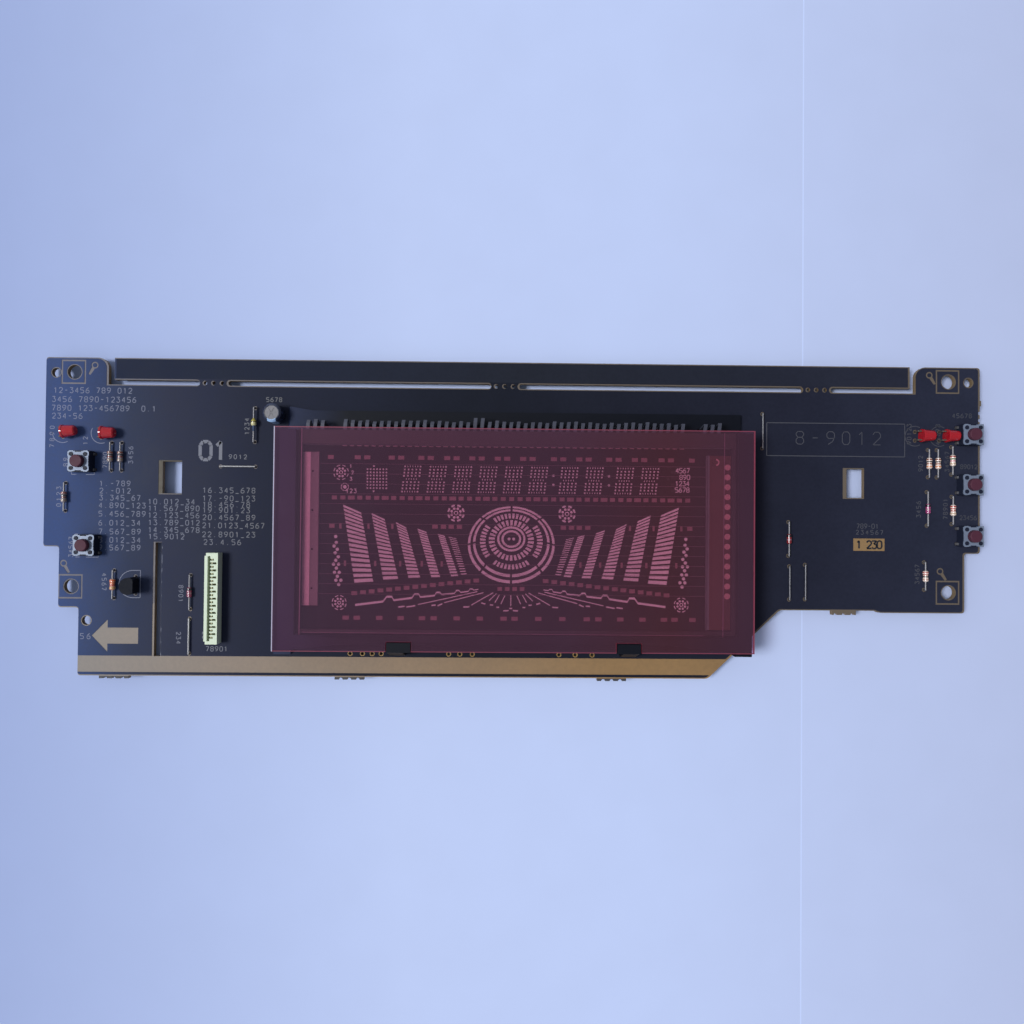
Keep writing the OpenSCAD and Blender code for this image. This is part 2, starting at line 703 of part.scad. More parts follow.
// A low flange past the leads, with a gap for each group of them and a slanted left end
module holder_flange() {
    far = filter_h / 2 + flange_out;
    end_x = filter_w / 2 - 1.4;
    near = holder_top - 1;
    row = (pin_count - 1) / 2 * pin_pitch;
    last = (end_pins - 1) * pin_pitch;
    bevel = 0.6;
    way = 0.9;
    difference() {
        translate([bevel - end_x, near, 0])
            cube([2 * end_x - bevel, far - near, flange_h]);
        for (g = [[-row - end_pin_gap - last, last], [-row, 2 * row], [row + end_pin_gap, last]])
            translate([pin_row_x + g[0] - way, pin_row_y - way / 2, -1])
                cube([g[1] + 2 * way, way, flange_h + 2]);
    }
    // Left end, a little longer than the rest
    translate([0, far + 1, 0])
        rotate([90, 0, 0])
            linear_extrude(far + 1 - near)
                polygon([[-end_x, 0], [bevel - end_x, flange_h], [bevel - end_x + 0.2, flange_h],
                         [bevel - end_x + 0.2, 0]]);
    translate([bevel - end_x, far - eps, 0])
        linear_extrude(flange_h) polygon([[0, 0], [0, 1], [0.6, 1], [6.8, 0]]);
}

// Clip in a notch of the filter, with a rib that slopes out to the board; rib_x is its shift
module holder_clip(x, rib_x) {
    clear = 0.2;
    rib_w = 4.4;
    top = filter_z - face_z;
    edge = -filter_h / 2 - clear;
    translate([x - notch_w / 2 + clear, edge, top - 1])
        cube([notch_w - 2 * clear, notch_h, filter_t + 1]);
    translate([x + rib_x - rib_w / 2, 0, 0])
        rotate([90, 0, 90])
            linear_extrude(rib_w)
                polygon([[edge + 1.5, 0], [edge - 2, 0], [edge - 2, 2.2], [edge, top + filter_t - 0.3],
                         [edge + 1.5, top + filter_t - 0.3]]);
}

module display_holder() {
    post = [4.7, 3];
    post_out = 1;
    color(black)
        on_display(face_z) {
            difference() {
                translate([-holder_x, -holder_low, 0])
                    cube([2 * holder_x, holder_low + holder_top, filter_z - face_z]);
                holder_cuts();
            }
            // Posts at the lower corners
            for (s = [-1, 1])
                block(s * (holder_x - post[0] / 2), -filter_h / 2 - post_out + post[1] / 2, post[0], post[1],
                    0, filter_z - face_z);
            holder_flange();
            holder_clip(-notch_x, -1.1);
            holder_clip(notch_x, 0.9);
        }
}

module display_filter() {
    color([0.45, 0.08, 0.16, 0.8])
        on_display(filter_z)
            linear_extrude(filter_t)
                difference() {
                    square([filter_w, filter_h], center = true);
                    for (s = [-1, 1])
                        translate([s * notch_x - notch_w / 2, -filter_h / 2 - 1])
                            square([notch_w, notch_h + 1]);
                }
}

module front_glass() {
    color([0.6, 0.65, 0.68, 0.4])
        on_display(front_z) block(glass_at[0], glass_at[1], glass_w, glass_h, 0, front_t);
}

// The frame between the two glasses, wider at the leads
module glass_frame(t) {
    difference() {
        block(glass_at[0], glass_at[1], glass_w, glass_h, 0, t);
        block(room_at[0], room_at[1], room[0], room[1], -1, t + 2);
    }
}

module glass_wall() {
    color([0.5, 0.6, 0.6, 0.6]) on_display(wall_z) glass_frame(wall_h);
}

module glass_seal() {
    color([0.25, 0.25, 0.28])
        on_display(seal_z)
            difference() {
                glass_frame(pin_t);
                for (x = pin_xs) translate([x - pin_w / 2, room_top - 1, -1])
                    cube([pin_w, wall_lead + 2, pin_t + 2]);
            }
}

module back_glass() {
    color([0.5, 0.55, 0.58])
        on_display(back_z) block(glass_at[0], glass_at[1], glass_w, glass_h, 0, back_t);
}

// A display lead: out of the glass, down and through the board
module display_lead(x) {
    inner = room_top - pin_in;
    outer = pin_row_y + pin_t / 2;
    translate([x - pin_w / 2, inner, seal_z]) cube([pin_w, outer - inner, pin_t]);
    translate([x - pin_w / 2, outer - pin_t, face_z + 0.5])
        cube([pin_w, pin_t, seal_z + pin_t - face_z - 0.5]);
    translate([x - pin_foot_w / 2, outer - pin_t, mask_z])
        cube([pin_foot_w, pin_t, face_z + 1 - mask_z]);
}

module display_leads() {
    color(tin) on_display(0) for (x = pin_xs) display_lead(x);
}

// The dark print that fills the inside of the back glass
module anode_print() {
    color([0.12, 0.1, 0.12])
        on_display(seal_z)
            translate([room_at[0] - room[0] / 2, room_low, 0])
                cube([room[0], room[1] - pin_in, ink_t]);
}

// Places and stretches what is drawn for the pattern's room to the room inside the glass
module on_pattern(z) {
    on_display(z)
        translate([pattern_at[0], pattern_at[1], 0])
            scale([room[0] / pattern_room[0], room[1] / pattern_room[1], 1]) children();
}

// Left half of the shown pattern, from the pattern's middle

// Level columns: top left, bottom left, top right, bottom right
columns = [
    [[-47.5, 9.8], [-44, -12.7], [-42.4, 7.6], [-38.7, -12.3]],
    [[-39.5, 7.5], [-35.9, -11.7], [-35.8, 5.8], [-31.7, -11.4]],
    [[-32.6, 5], [-28.8, -11.1], [-29.7, 3.5], [-25.5, -10.9]],
    [[-26.5, 3.2], [-22.4, -10.8], [-24, 2.3], [-19.9, -10.7]],
    [[-20.8, 1.8], [-16.8, -10.5], [-18.8, 1.2], [-14.8, -10.3]],
    [[-17.7, 1], [-13.9, -10.2], [-15.5, 0.5], [-12.4, -10]]
];

// Share of a column's height above line t, where the bars grow toward the bottom
function grown(t) = 0.8 * t + 0.2 * t * t;
function between(a, b, t) = a + (b - a) * t;

module level_column(c, fill) {
    for (k = [0 : bar_count - 1]) {
        t0 = grown(k / bar_count);
        t1 = grown((k + fill) / bar_count);
        polygon([between(c[0], c[1], t0), between(c[2], c[3], t0), between(c[2], c[3], t1),
                 between(c[0], c[1], t1)]);
    }
}

// Part of an elliptic ring between two angles; w is the width of its line, and its inner edge is
// moved up by up, so that the ring is thicker at its bottom
module ring_part(c, rx, ry, w, a0, a1, up = 0) {
    n = max(2, ceil((a1 - a0) / 9));
    polygon(concat(arc(c, rx, ry, a0, a1, n), turned(arc(c + [0, up], rx - w, ry - w, a0, a1, n))));
}

// A ring of n strokes between two ellipses, left out near the slanted lines when gaps is true
module tick_ring(c, outer, inner, n, fill, gaps) {
    for (k = [0 : n - 1]) {
        a = (k + 0.5) * 360 / n;
        if (!gaps || abs(a % 90 - 45) > 180 / n * 1.2)
            polygon(concat(arc(c, outer[0], outer[1], a - fill * 180 / n, a + fill * 180 / n, 1),
                turned(arc(c, inner[0], inner[1], a - fill * 180 / n, a + fill * 180 / n, 1))));
    }
}

// A ring that is broken into eight parts by gaps of width g
module broken_ring(c, rx, ry, w, g, up = 0) {
    half = g / rx * 28.6;
    for (k = [0 : 7]) ring_part(c, rx, ry, w, k * 45 + half, k * 45 + 45 - half, up);
}

module whole_ring(c, rx, ry, w) {
    difference() {
        polygon(arc(c, rx, ry, 0, 350, 35));
        polygon(arc(c, rx - w, ry - w, 0, 350, 35));
    }
}

module centre_rings() {
    for (s = [-1, 1]) translate([s * 0.65, 0.5]) circle(r = 0.4, $fn = 16);
    whole_ring([0, 0.5], 2.8, 2.5, 0.6);
    whole_ring([0, 0.5], 4, 3.55, 0.6);
    tick_ring([0, 0.1], [6.4, 5.75], [4.7, 4.2], 30, 0.6, false);
    tick_ring([0, -0.2], [8.9, 7.9], [7.3, 6.5], 48, 0.6, true);
    broken_ring([0, -0.7], 10.85, 9.6, 0.7, 0.6, 0.15);
    broken_ring([0, -1.15], 12.3, 10.9, 0.7, 0.6, 0.15);
}

// A small ring inside a broken ring with eight dots between them
module small_wheel(p, r, w) {
    translate(p) {
        broken_ring([0, 0], 0.26 * r, 0.26 * r, 0.12 * r, 0.02 * r);
        for (k = [0 : 7]) rotate(k * 45 + 22.5) translate([0.54 * r, 0]) circle(r = 0.15 * r, $fn = 16);
        broken_ring([0, 0], r, r, w, 0.3 * r);
    }
}

// Dots that stand beside the first level column
side_dots = [[-49.5, 0.8], [-49.3, -0.9], [-49.9, -1.9], [-49, -2.8], [-49.6, -3.8], [-48.7, -4.9],
             [-49.4, -5.9], [-50, -7], [-48.6, -7], [-49.2, -8.1], [-49.7, -9.3], [-48.4, -9.3],
             [-48.9, -10.4], [-49.3, -11.5], [-47.9, -11.5], [-48.5, -12.7]];

// Upper side of the stepped line below the columns
stepped = [[-43.8, -18.1], [-36, -17.1], [-35, -15.75], [-33.5, -15.75], [-33, -16.75], [-27.9, -16.05],
           [-27.2, -15], [-26, -15], [-25.5, -15.8], [-21.5, -15.4], [-21, -14.5], [-20, -14.5],
           [-19.5, -15.1], [-15.9, -14.75], [-15.4, -13.95], [-14.6, -13.95], [-14.2, -14.5],
           [-12, -14.2], [-11.6, -13.5], [-10.9, -13.5], [-10.5, -13.85], [-9.2, -13.65]];

module stepped_line() {
    last = len(stepped) - 1;
    polygon(concat(stepped, [for (k = [last : -1 : 0]) stepped[k] - [0, 0.62 - 0.34 * k / last]]));
}

// Rays below the rings, and the dashes at their ends: two ends and a width
rays = [[[-9.5, -14.45], [-26.2, -18.2], 0.25], [[-7.75, -14.7], [-18.8, -17.6], 0.25],
        [[-5, -14.7], [-11.1, -18.2], 0.25], [[-4.1, -14.95], [-6.2, -17], 0.25],
        [[-3.2, -15.2], [-4.5, -17.5], 0.25], [[-1.7, -15.5], [-2.8, -17.9], 0.25],
        [[-31.7, -18.9], [-29.9, -18.7], 0.36], [[-29.4, -18.9], [-26.9, -18.5], 0.36],
        [[-22.4, -18.4], [-21.2, -18.3], 0.36], [[-20.6, -18.5], [-19.3, -17.9], 0.36],
        [[-13.4, -18.8], [-11.7, -18.7], 0.36], [[-8.3, -17.6], [-7.2, -17.9], 0.36],
        [[-5.9, -18.1], [-5, -18.2], 0.36], [[-4.1, -18.8], [-3.3, -18.8], 0.36],
        [[-2.1, -19.8], [-0.6, -19.7], 0.36]];

// A straight stroke of width w from a to b
module stroke(a, b, w) {
    d = w / 2 * unit([a[1] - b[1], b[0] - a[0]]);
    polygon([a + d, b + d, b - d, a - d]);
}

module half_pattern() {
    for (k = [0 : len(columns) - 2]) level_column(columns[k], bar_fill);
    level_column(columns[len(columns) - 1], 0.35);
    small_wheel([-15.7, 7.7], 2.45, 0.5);
    small_wheel([-48.3, -17.8], 2.1, 0.25);
    for (p = side_dots) translate(p) circle(r = 0.47, $fn = 16);
    stepped_line();
    for (r = rays) stroke(r[0], r[1], r[2]);
}

module anode_segments() {
    color([0.85, 0.6, 0.7])
        on_pattern(ink_z)
            linear_extrude(phosphor_t) {
                half_pattern();
                mirror([1, 0]) half_pattern();
                centre_rings();
                stroke([0, -15.4], [0, -18.5], 0.25);
                stroke([-0.4, -19.1], [0.4, -19.1], 0.36);
                small_wheel([-48.2, 18.9], 2.15, 0.2);
                translate([-47.1, 14.8]) circle(r = 0.5, $fn = 16);
                broken_ring([-47.1, 14.8], 1.15, 1.15, 0.25, 0.25);
                for (k = [0 : 3]) translate([45.2, 19.4 - k * 1.75]) square([3.9 - k % 2, 0.8]);
                translate([44.4, 17.9]) circle(r = 0.45, $fn = 16);
            }
}

// Dots of a slanted character with a middle row, and of a plain square one
slant = 0.1;
big_char = [for (r = [-4 : 4], c = [-2 : 2])
    if ((abs(r) < 4 || abs(c) != 0) && (r != 0 || abs(c) < 2)) [c * 1.22 * dot_pitch + slant * r, r]];
square_char = concat([for (r = [-3 : 3], c = [-3 : 3]) [c * dot_pitch, r]],
    [for (s = [-1, 1]) [-dot_pitch, 4 * s]]);
char_x = concat([for (k = [0 : 9])
    -28.4 + k * char_pitch + (k > 5 ? 1.45 : 0) + (k > 7 ? 1.45 : 0)]);
char_y = 17.2;

module character(list) {
    for (d = list) translate([d[0], d[1] * dot_pitch]) square(dot_w, center = true);
}

module character_dots() {
    color([0.85, 0.6, 0.7])
        on_pattern(ink_z)
            linear_extrude(phosphor_t) {
                translate([-38.1, char_y]) character(square_char);
                for (x = char_x) translate([x, char_y]) character(big_char);
                for (x = [char_x[5], char_x[7]], y = [-1, 1])
                    translate([x + 4.3, char_y + 1.3 * y]) circle(r = 0.4, $fn = 16);
            }
}

// Feet of the grid: middles along X of the pairs in the top row, and of the feet in other rows
top_pairs = [-42.2, -32.65, -24.3, -17, -9.9, -2.7, 4.5, 13.2, 20.4, 28.9, 36.2, 43.8];
side_feet = [-50.6, -21.6, -19.2, -17, -14.7];
low_feet = [-46.4, -43.3, -37, -31, -25, -21.7, -15.2, -8.7, -2, 1.1, 7.8, 14.6, 21.5, 24.8, 31, 37.3,
            43.4, 46.4, 51.5];
// Narrow feet between the columns, from the pattern's middle
slim_feet = [[-48.2, 3.8], [-40.3, 3.8], [-33.6, 3.8], [-46.8, -6.7], [-38.3, -6.7], [-31.3, -6.7],
             [-25.2, -6.7], [-19.6, -6.7]];
foot_h = 1.1;

module grid_foot(x, y, w) {
    block(x, y, w, foot_h, 0, anchor_t);
}

module half_feet() {
    grid_foot(-51.1, 23.2, 1.6);
    for (x = side_feet) grid_foot(x, 3.8, 1.5);
    for (k = [0 : 14]) grid_foot(between(-44.1, -9.8, k / 14), between(-15.1, -11.3, k / 14), 1.6);
    for (p = slim_feet) block(p[0], p[1], 0.6, 1.5, 0, anchor_t);
}

module grid_tabs() {
    color(steel)
        on_pattern(ink_z) {
            half_feet();
            mirror([1, 0, 0]) half_feet();
            for (x = top_pairs, s = [-1, 1]) grid_foot(x + s * 1.33, 23.2, 1.7);
            for (k = [-21 : 21]) grid_foot(k * 2.38, 11.8, abs(k) % 4 == 3 ? 1.9 : 1.4);
            for (k = [-1.5 : 1.5]) grid_foot(k * 2.1, -13.6, 1.3);
            for (x = low_feet) grid_foot(x, -22, 1.8);
        }
}

// The metal strips that hold the filament wires: a flat foot with an upright edge
module filament_anchors() {
    outer = room[0] / 2 - 0.1;
    inner = [4.7 - room[0] / 2, room[0] / 2 - 7.2];
    bar_w = 1.7;
    y0 = room_top - 2.2;
    left_low = room_low + 6.6;
    right_low = room_low + 0.4;
    up = filament_z - filament_d / 2 - ink_z;
    color(steel)
        on_display(ink_z)
            translate([room_at[0], 0, 0]) {
                difference() {
                    translate([-outer, left_low, 0]) cube([outer + inner[0], y0 - left_low, anchor_t]);
                    for (k = [0 : 3])
                        translate([inner[0] - 1.9, y0 - 5.4 - k * 11, -1]) cylinder(r = 0.3, h = 2);
                }
                translate([inner[0] - anchor_t, left_low, 0]) cube([anchor_t, y0 - left_low, up]);
                translate([inner[1], right_low, 0]) cube([outer - inner[1], y0 - right_low, anchor_t]);
                translate([inner[1], right_low, 0]) cube([bar_w, y0 - right_low, 2 * anchor_t]);
                translate([inner[1], right_low, 0]) cube([anchor_t, y0 - right_low, up]);
                for (y = filament_ys) translate([outer - 1, y, 0]) cylinder(r = 0.85, h = 0.5);
            }
}

module filament_wires() {
    x0 = room_at[0] - room[0] / 2 + 4.2;
    x1 = room_at[0] + room[0] / 2 - 6.2;
    color([0.4, 0.4, 0.42])
        on_display(filament_z)
            for (y = filament_ys) rod([x0, y, 0], [x1, y, 0], filament_d / 2);
}

module getter() {
    color(steel)
        on_display(ink_z + anchor_t)
            translate([room_at[0] + room[0] / 2 - 4.4, filament_top + 1.4, 0])
                difference() {
                    cylinder(r = 1, h = 0.4);
                    translate([0, 0, 0.15]) cylinder(r = 0.6, h = 1);
                }
}

// Cable connector, in coordinates from its own middle

module on_connector() {
    translate([conn_at[0], conn_at[1], face_z]) children();
}

function contact_y(k) = (k - (conn_count - 1) / 2) * conn_pitch;
function tail_x(k) = k % 2 == 0 ? tail_near : tail_far;

module connector_housing() {
    cavity = tail_w + 0.15;
    slot_len = (conn_count - 1) * conn_pitch + 2;
    color([0.82, 0.86, 0.76])
        on_connector()
            difference() {
                block(0, 0, conn_w, conn_len, 0, conn_h);
                block(slot_x + cable_slot / 2, 0, cable_slot, slot_len, conn_floor, conn_h);
                for (s = [-1, 1])
                    block(-conn_w / 2, s * (conn_len / 2), 0.8, 1.6, conn_h - 1.2, conn_h);
                for (k = [0 : conn_count - 1]) {
                    translate([slot_x, contact_y(k) - cavity / 2, conn_floor])
                        cube([tail_x(k) - slot_x + contact_t / 2 + 0.1, cavity, conn_h]);
                    block(tail_x(k), contact_y(k), contact_t, tail_w, -1, conn_h);
                }
            }
}

// One contact: tail, foot and a spring blade beside the cable slot
module cable_contact(k) {
    blade = slot_x + cable_slot + 0.05;
    translate([0, contact_y(k) - tail_w / 2, 0]) {
        translate([tail_x(k) - contact_t / 2, 0, mask_z - face_z])
            cube([contact_t, tail_w, face_z - mask_z + 0.72 * conn_h]);
        translate([blade, 0, conn_floor]) cube([tail_x(k) - blade, tail_w, 0.25]);
        translate([blade, 0, conn_floor]) cube([0.2, tail_w, 0.55 * conn_h]);
        translate([blade - 0.2, 0, conn_floor + 0.42 * conn_h]) cube([0.3, tail_w, 0.3]);
    }
}

module connector_contacts() {
    color(tin) on_connector() for (k = [0 : conn_count - 1]) cable_contact(k);
}

// Push switches, in coordinates from the middle of each one

post_r = 0.58;
post_in = 1;
well_r = 2.3;
well_floor = switch_h - 1.9;
flange_t = 0.4;
button_gap = 0.06;
dome_h = 0.5;

module at_switches() {
    for (p = switch_spots) translate([p[0], p[1], face_z]) children();
}

module at_posts() {
    d = switch_w / 2 - post_in;
    for (i = [-1, 1], j = [-1, 1]) translate([i * d, j * d, 0]) children();
}

module switch_bases() {
    color(black)
        at_switches() {
            difference() {
                block(0, 0, switch_w, switch_w, 0, switch_h);
                translate([0, 0, well_floor]) cylinder(r = well_r, h = switch_h);
            }
            at_posts() translate([0, 0, switch_h - eps]) cylinder(r = post_r, h = cover_t + eps + 0.15);
        }
}

// Outline of a cover: four lobes at the corners, and a notch in two of its sides
module cover_2d() {
    half = switch_w / 2;
    ease = 0.45;
    waist = half - 0.15;
    lobe = half - 1.6;
    quarter = [[waist, lobe], [half, lobe + 0.15], [half, half - ease], [half - ease, half],
               [lobe + 0.15, half], [lobe, waist], [0.9, waist], [0.9, waist - 0.25]];
    polygon(concat([for (p = turned(quarter)) [p[0], -p[1]]], quarter,
        [for (p = turned(quarter)) [-p[0], p[1]]], [for (p = quarter) -p]));
}

module switch_covers() {
    color(steel)
        at_switches()
            difference() {
                translate([0, 0, switch_h]) linear_extrude(cover_t) cover_2d();
                translate([0, 0, switch_h - 1]) cylinder(r = button_d / 2 + button_gap, h = 3);
                at_posts() translate([0, 0, switch_h - 1]) cylinder(r = post_r, h = 3);
            }
}

// A thin domed spring on the floor of each well
module switch_domes() {
    t = 0.1;
    color(steel)
        at_switches()
            translate([0, 0, well_floor])
                rotate_extrude()
                    polygon([[0, dome_h - t], [0.8, dome_h - 1.5 * t], [well_r - 0.5, 0], [well_r - 0.2, 0],
                             [well_r - 0.2, t], [0.8, dome_h - 0.5 * t], [0, dome_h]]);
}

module switch_legs() {
    color(tin)
        at_switches()
            for (i = [-1, 1], j = [-1, 1])
                block(i * (switch_w + leg_t) / 2, j * leg_pitch / 2, leg_t, leg_w, mask_z - face_z,
                    face_z - mask_z + 1);
}

// The button: plunger, flange that stays under the cover, and stem above the dome
module switch_button(k) {
    r = button_d / 2;
    ease = 0.2;
    stem_z = well_floor + dome_h + button_travel + 0.05;
    top = switch_h + cover_t + button_h;
    color([0.35, 0.08, 0.12])
        translate([switch_spots[k][0], switch_spots[k][1], face_z])
            rotate_extrude()
                polygon([[0, stem_z], [0.6, stem_z], [0.6, switch_h - flange_t],
                         [well_r - 0.15, switch_h - flange_t], [well_r - 0.15, switch_h],
                         [r, switch_h], [r, top - ease], [r - ease, top], [0, top]]);
}

module switch_button_1() { switch_button(0); }

module switch_button_2() { switch_button(1); }

module switch_button_3() { switch_button(2); }

module switch_button_4() { switch_button(3); }

module switch_button_5() { switch_button(4); }

// Lamps that lie along X

lamp_ahead = 0.9;
rim_t = 0.5;

// The lamp rests on the rim and narrows toward its tip
module lamp(k) {
    rim = lamp_rim_d / 2;
    r = lamp_d / 2;
    s = lamp_spots[k];
    color([0.8, 0.1, 0.1])
        translate([s[0], s[1], face_z + lamp_z])
            rotate(s[2])
                translate([lamp_ahead, 0, 0])
                    rotate([0, 90, 0])
                        rotate_extrude()
                            polygon([[0, 0], [rim, 0], [rim, rim_t], [r, rim_t + 0.1],
                                     [r - 0.3, lamp_len - 0.4], [r - 0.55, lamp_len - 0.1],
                                     [r - 0.95, lamp_len], [0, lamp_len]]);
}

module lamp_1() { lamp(0); }

module lamp_2() { lamp(1); }

module lamp_3() { lamp(2); }

module lamp_4() { lamp(3); }

module lamp_leads() {
    color(tin)
        for (s = lamp_spots)
            translate([s[0], s[1], 0])
                rotate(s[2])
                    for (y = [-1, 1] * lamp_pitch / 2)
                        wire([[lamp_ahead, y, face_z + lamp_z], [0, y, face_z + lamp_z],
                              [0, y, mask_z]], wire_r);
}

// Small parts that lie across the board

// A body that turns round Y, from a profile of [radius, place along Y]
module lying(spot, r, profile) {
    translate([spot[0], spot[1], face_z + lie_gap + r])
        rotate([-90, 0, 0]) rotate_extrude() polygon(profile);
}

module resistor(k) {
    r = resistor_d / 2;
    h = resistor_len / 2;
    color([0.85, 0.75, 0.6])
        lying(resistor_spots[k], r, [
            [0, -h], [0.6 * r, -h], [r, -h + 0.3], [r, -h + 0.8], [0.86 * r, -h + 1.1],
            [0.86 * r, h - 1.1], [r, h - 0.8], [r, h - 0.3], [0.6 * r, h], [0, h]]);
}

module resistor_1() { resistor(0); }

module resistor_2() { resistor(1); }

module resistor_3() { resistor(2); }

module resistor_4() { resistor(3); }

module resistor_5() { resistor(4); }

module resistor_6() { resistor(5); }

module resistor_7() { resistor(6); }

module resistor_8() { resistor(7); }

module resistor_9() { resistor(8); }

module diode(k) {
    r = diode_d / 2;
    h = diode_len / 2;
    color([0.6, 0.2, 0.3])
        lying(diode_spots[k], r, [
            [0, -h], [0.7 * r, -h], [r, -h + 0.25], [r, h - 0.25], [0.7 * r, h], [0, h]]);
}

module diode_1() { diode(0); }

module diode_2() { diode(1); }

module diode_3() { diode(2); }

bead_r = 1.2;
bead_h = 1.9;

module bead_capacitor() {
    color([0.85, 0.65, 0.15])
        lying(bead_spot, bead_r, [for (i = [0 : 10]) let (a = i * 18 - 90)
            [max(0, bead_r * pow(cos(a), 0.7)), bead_h * sin(a)]]);
}

// Upright capacitor: a metal can in a printed sleeve that is folded over its rim
sleeve_t = 0.12;
sleeve_lip = 0.7;
cap_rest = 0.1;

module capacitor_can() {
    r = cap_d / 2 - sleeve_t;
    color(steel)
        translate([cap_spot[0], cap_spot[1], face_z + cap_rest])
            difference() {
                rotate_extrude()
                    polygon([[0, 0], [r, 0], [r, cap_h - 0.4], [r - 0.4, cap_h], [0, cap_h]]);
                for (a = [0, 60, 120])
                    rotate(a) translate([-r + 1, -0.08, cap_h - 0.1]) cube([2 * r - 2, 0.16, 1]);
            }
}

module capacitor_sleeve() {
    r = cap_d / 2;
    inner = r - sleeve_t;
    color([0.1, 0.12, 0.2])
        translate([cap_spot[0], cap_spot[1], face_z + cap_rest])
            rotate_extrude()
                polygon([[inner, 0], [r, 0], [r, cap_h - 0.35], [inner - 0.35, cap_h + sleeve_t],
                         [r - sleeve_lip, cap_h + sleeve_t], [r - sleeve_lip, cap_h],
                         [inner - 0.4, cap_h], [inner, cap_h - 0.4]]);
}

module transistor() {
    flat = 0.3 * transistor_d;
    color(black)
        translate([transistor_spot[0], transistor_spot[1], face_z + transistor_z])
            difference() {
                cylinder(d = transistor_d, h = transistor_h);
                translate([flat, -transistor_d, -1])
                    cube([transistor_d, 2 * transistor_d, transistor_h + 2]);
            }
}

// Leads of a lying body: out of its end, then down through the board
module lying_leads(spot, r, half, span) {
    z = face_z + lie_gap + r;
    for (s = [-1, 1])
        wire([[spot[0], spot[1] + s * half, z], [spot[0], spot[1] + s * span / 2, z],
              [spot[0], spot[1] + s * span / 2, mask_z]], wire_r);
}

// Height at which the transistor's leads leave it, just below its foot
transistor_foot = face_z + transistor_z - 0.1;

module component_leads() {
    color(tin) {
        for (p = resistor_spots) lying_leads(p, resistor_d / 2, resistor_len / 2, resistor_span);
        for (p = diode_spots) lying_leads(p, diode_d / 2, diode_len / 2, diode_span);
        lying_leads(bead_spot, bead_r, bead_h, diode_span);
        for (s = [-1, 1])
            rod([cap_spot[0], cap_spot[1] + s * cap_pitch / 2, face_z + cap_rest],
                [cap_spot[0], cap_spot[1] + s * cap_pitch / 2, mask_z], wire_r);
        translate([transistor_spot[0], transistor_spot[1], 0]) {
            rod([0, 0, transistor_foot], [0, 0, mask_z], wire_r);
            for (s = [-1, 1])
                wire([[0, 0.6 * s * transistor_pitch, transistor_foot],
                      [0, s * transistor_pitch, face_z + 0.3], [0, s * transistor_pitch, mask_z]], wire_r);
        }
    }
}

module jumper_wires() {
    color(tin)
        for (s = jumper_spots)
            translate([s[0], s[1], 0])
                rotate(s[3])
                    wire([[-s[2] / 2, 0, mask_z], [-s[2] / 2, 0, face_z + wire_z],
                          [s[2] / 2, 0, face_z + wire_z], [s[2] / 2, 0, mask_z]], wire_r);
}

// Driver chip on the solder side
chip_gap = 0.1;
chip_reach = 1;

module driver_chip() {
    color(black)
        block(chip_spot[0], chip_spot[1], chip_w, chip_w, mask_z - chip_gap - chip_t, chip_t);
}

module driver_leads() {
    t = 0.15;
    w = 0.3;
    mid = mask_z - chip_gap - chip_t / 2;
    color(tin)
        translate([chip_spot[0], chip_spot[1], 0])
            for (a = [0 : 90 : 270], k = [0 : chip_pins - 1])
                rotate(a)
                    translate([(k - (chip_pins - 1) / 2) * chip_pitch - w / 2, chip_w / 2, 0]) {
                        translate([0, 0, mid - t / 2]) cube([w, 0.5, t]);
                        translate([0, 0.5 - t, mid - t / 2]) cube([w, t, mask_z - mid + t / 2]);
                        translate([0, 0.5 - t, mask_z - t]) cube([w, chip_reach - 0.5 + t, t]);
                    }
}

// Draw the chosen piece, or all of them
circuit_board();
board_print();
solder_mask();
copper_pads();
solder_joints_left();
solder_joints_connector();
solder_joints_display();
solder_joints_middle();
solder_joints_right();
display_holder();
display_filter();
front_glass();
glass_wall();
glass_seal();
back_glass();
anode_print();
anode_segments();
character_dots();
grid_tabs();
filament_wires();
filament_anchors();
getter();
display_leads();
connector_housing();
connector_contacts();
switch_bases();
switch_covers();
switch_domes();
switch_legs();
switch_button_1();
switch_button_2();
switch_button_3();
switch_button_4();
switch_button_5();
lamp_1();
lamp_2();
lamp_3();
lamp_4();
lamp_leads();
resistor_1();
resistor_2();
resistor_3();
resistor_4();
resistor_5();
resistor_6();
resistor_7();
resistor_8();
resistor_9();
diode_1();
diode_2();
diode_3();
bead_capacitor();
capacitor_can();
capacitor_sleeve();
transistor();
component_leads();
jumper_wires();
driver_chip();
driver_leads();
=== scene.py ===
"""Looks, stage and small printed pieces of a front panel display board, around its CAD model."""

import math

import bpy
import numpy as np
from mathutils import Matrix, Vector


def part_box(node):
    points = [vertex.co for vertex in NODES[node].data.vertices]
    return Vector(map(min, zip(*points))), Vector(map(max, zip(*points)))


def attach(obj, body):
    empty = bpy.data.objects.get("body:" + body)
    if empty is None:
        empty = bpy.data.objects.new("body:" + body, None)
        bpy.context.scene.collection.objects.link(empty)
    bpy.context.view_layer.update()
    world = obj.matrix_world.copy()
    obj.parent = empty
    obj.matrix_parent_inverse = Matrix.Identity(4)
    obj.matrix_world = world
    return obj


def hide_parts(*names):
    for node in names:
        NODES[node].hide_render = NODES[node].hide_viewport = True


bl_info = {
    "name": "Display board looks",
    "version": (1, 0, 0),
    "blender": (4, 5, 0),
    "location": "View3D > Sidebar > Display board",
    "description": "Finishes, printed marks and stage of a front panel display board",
    "category": "Object",
}

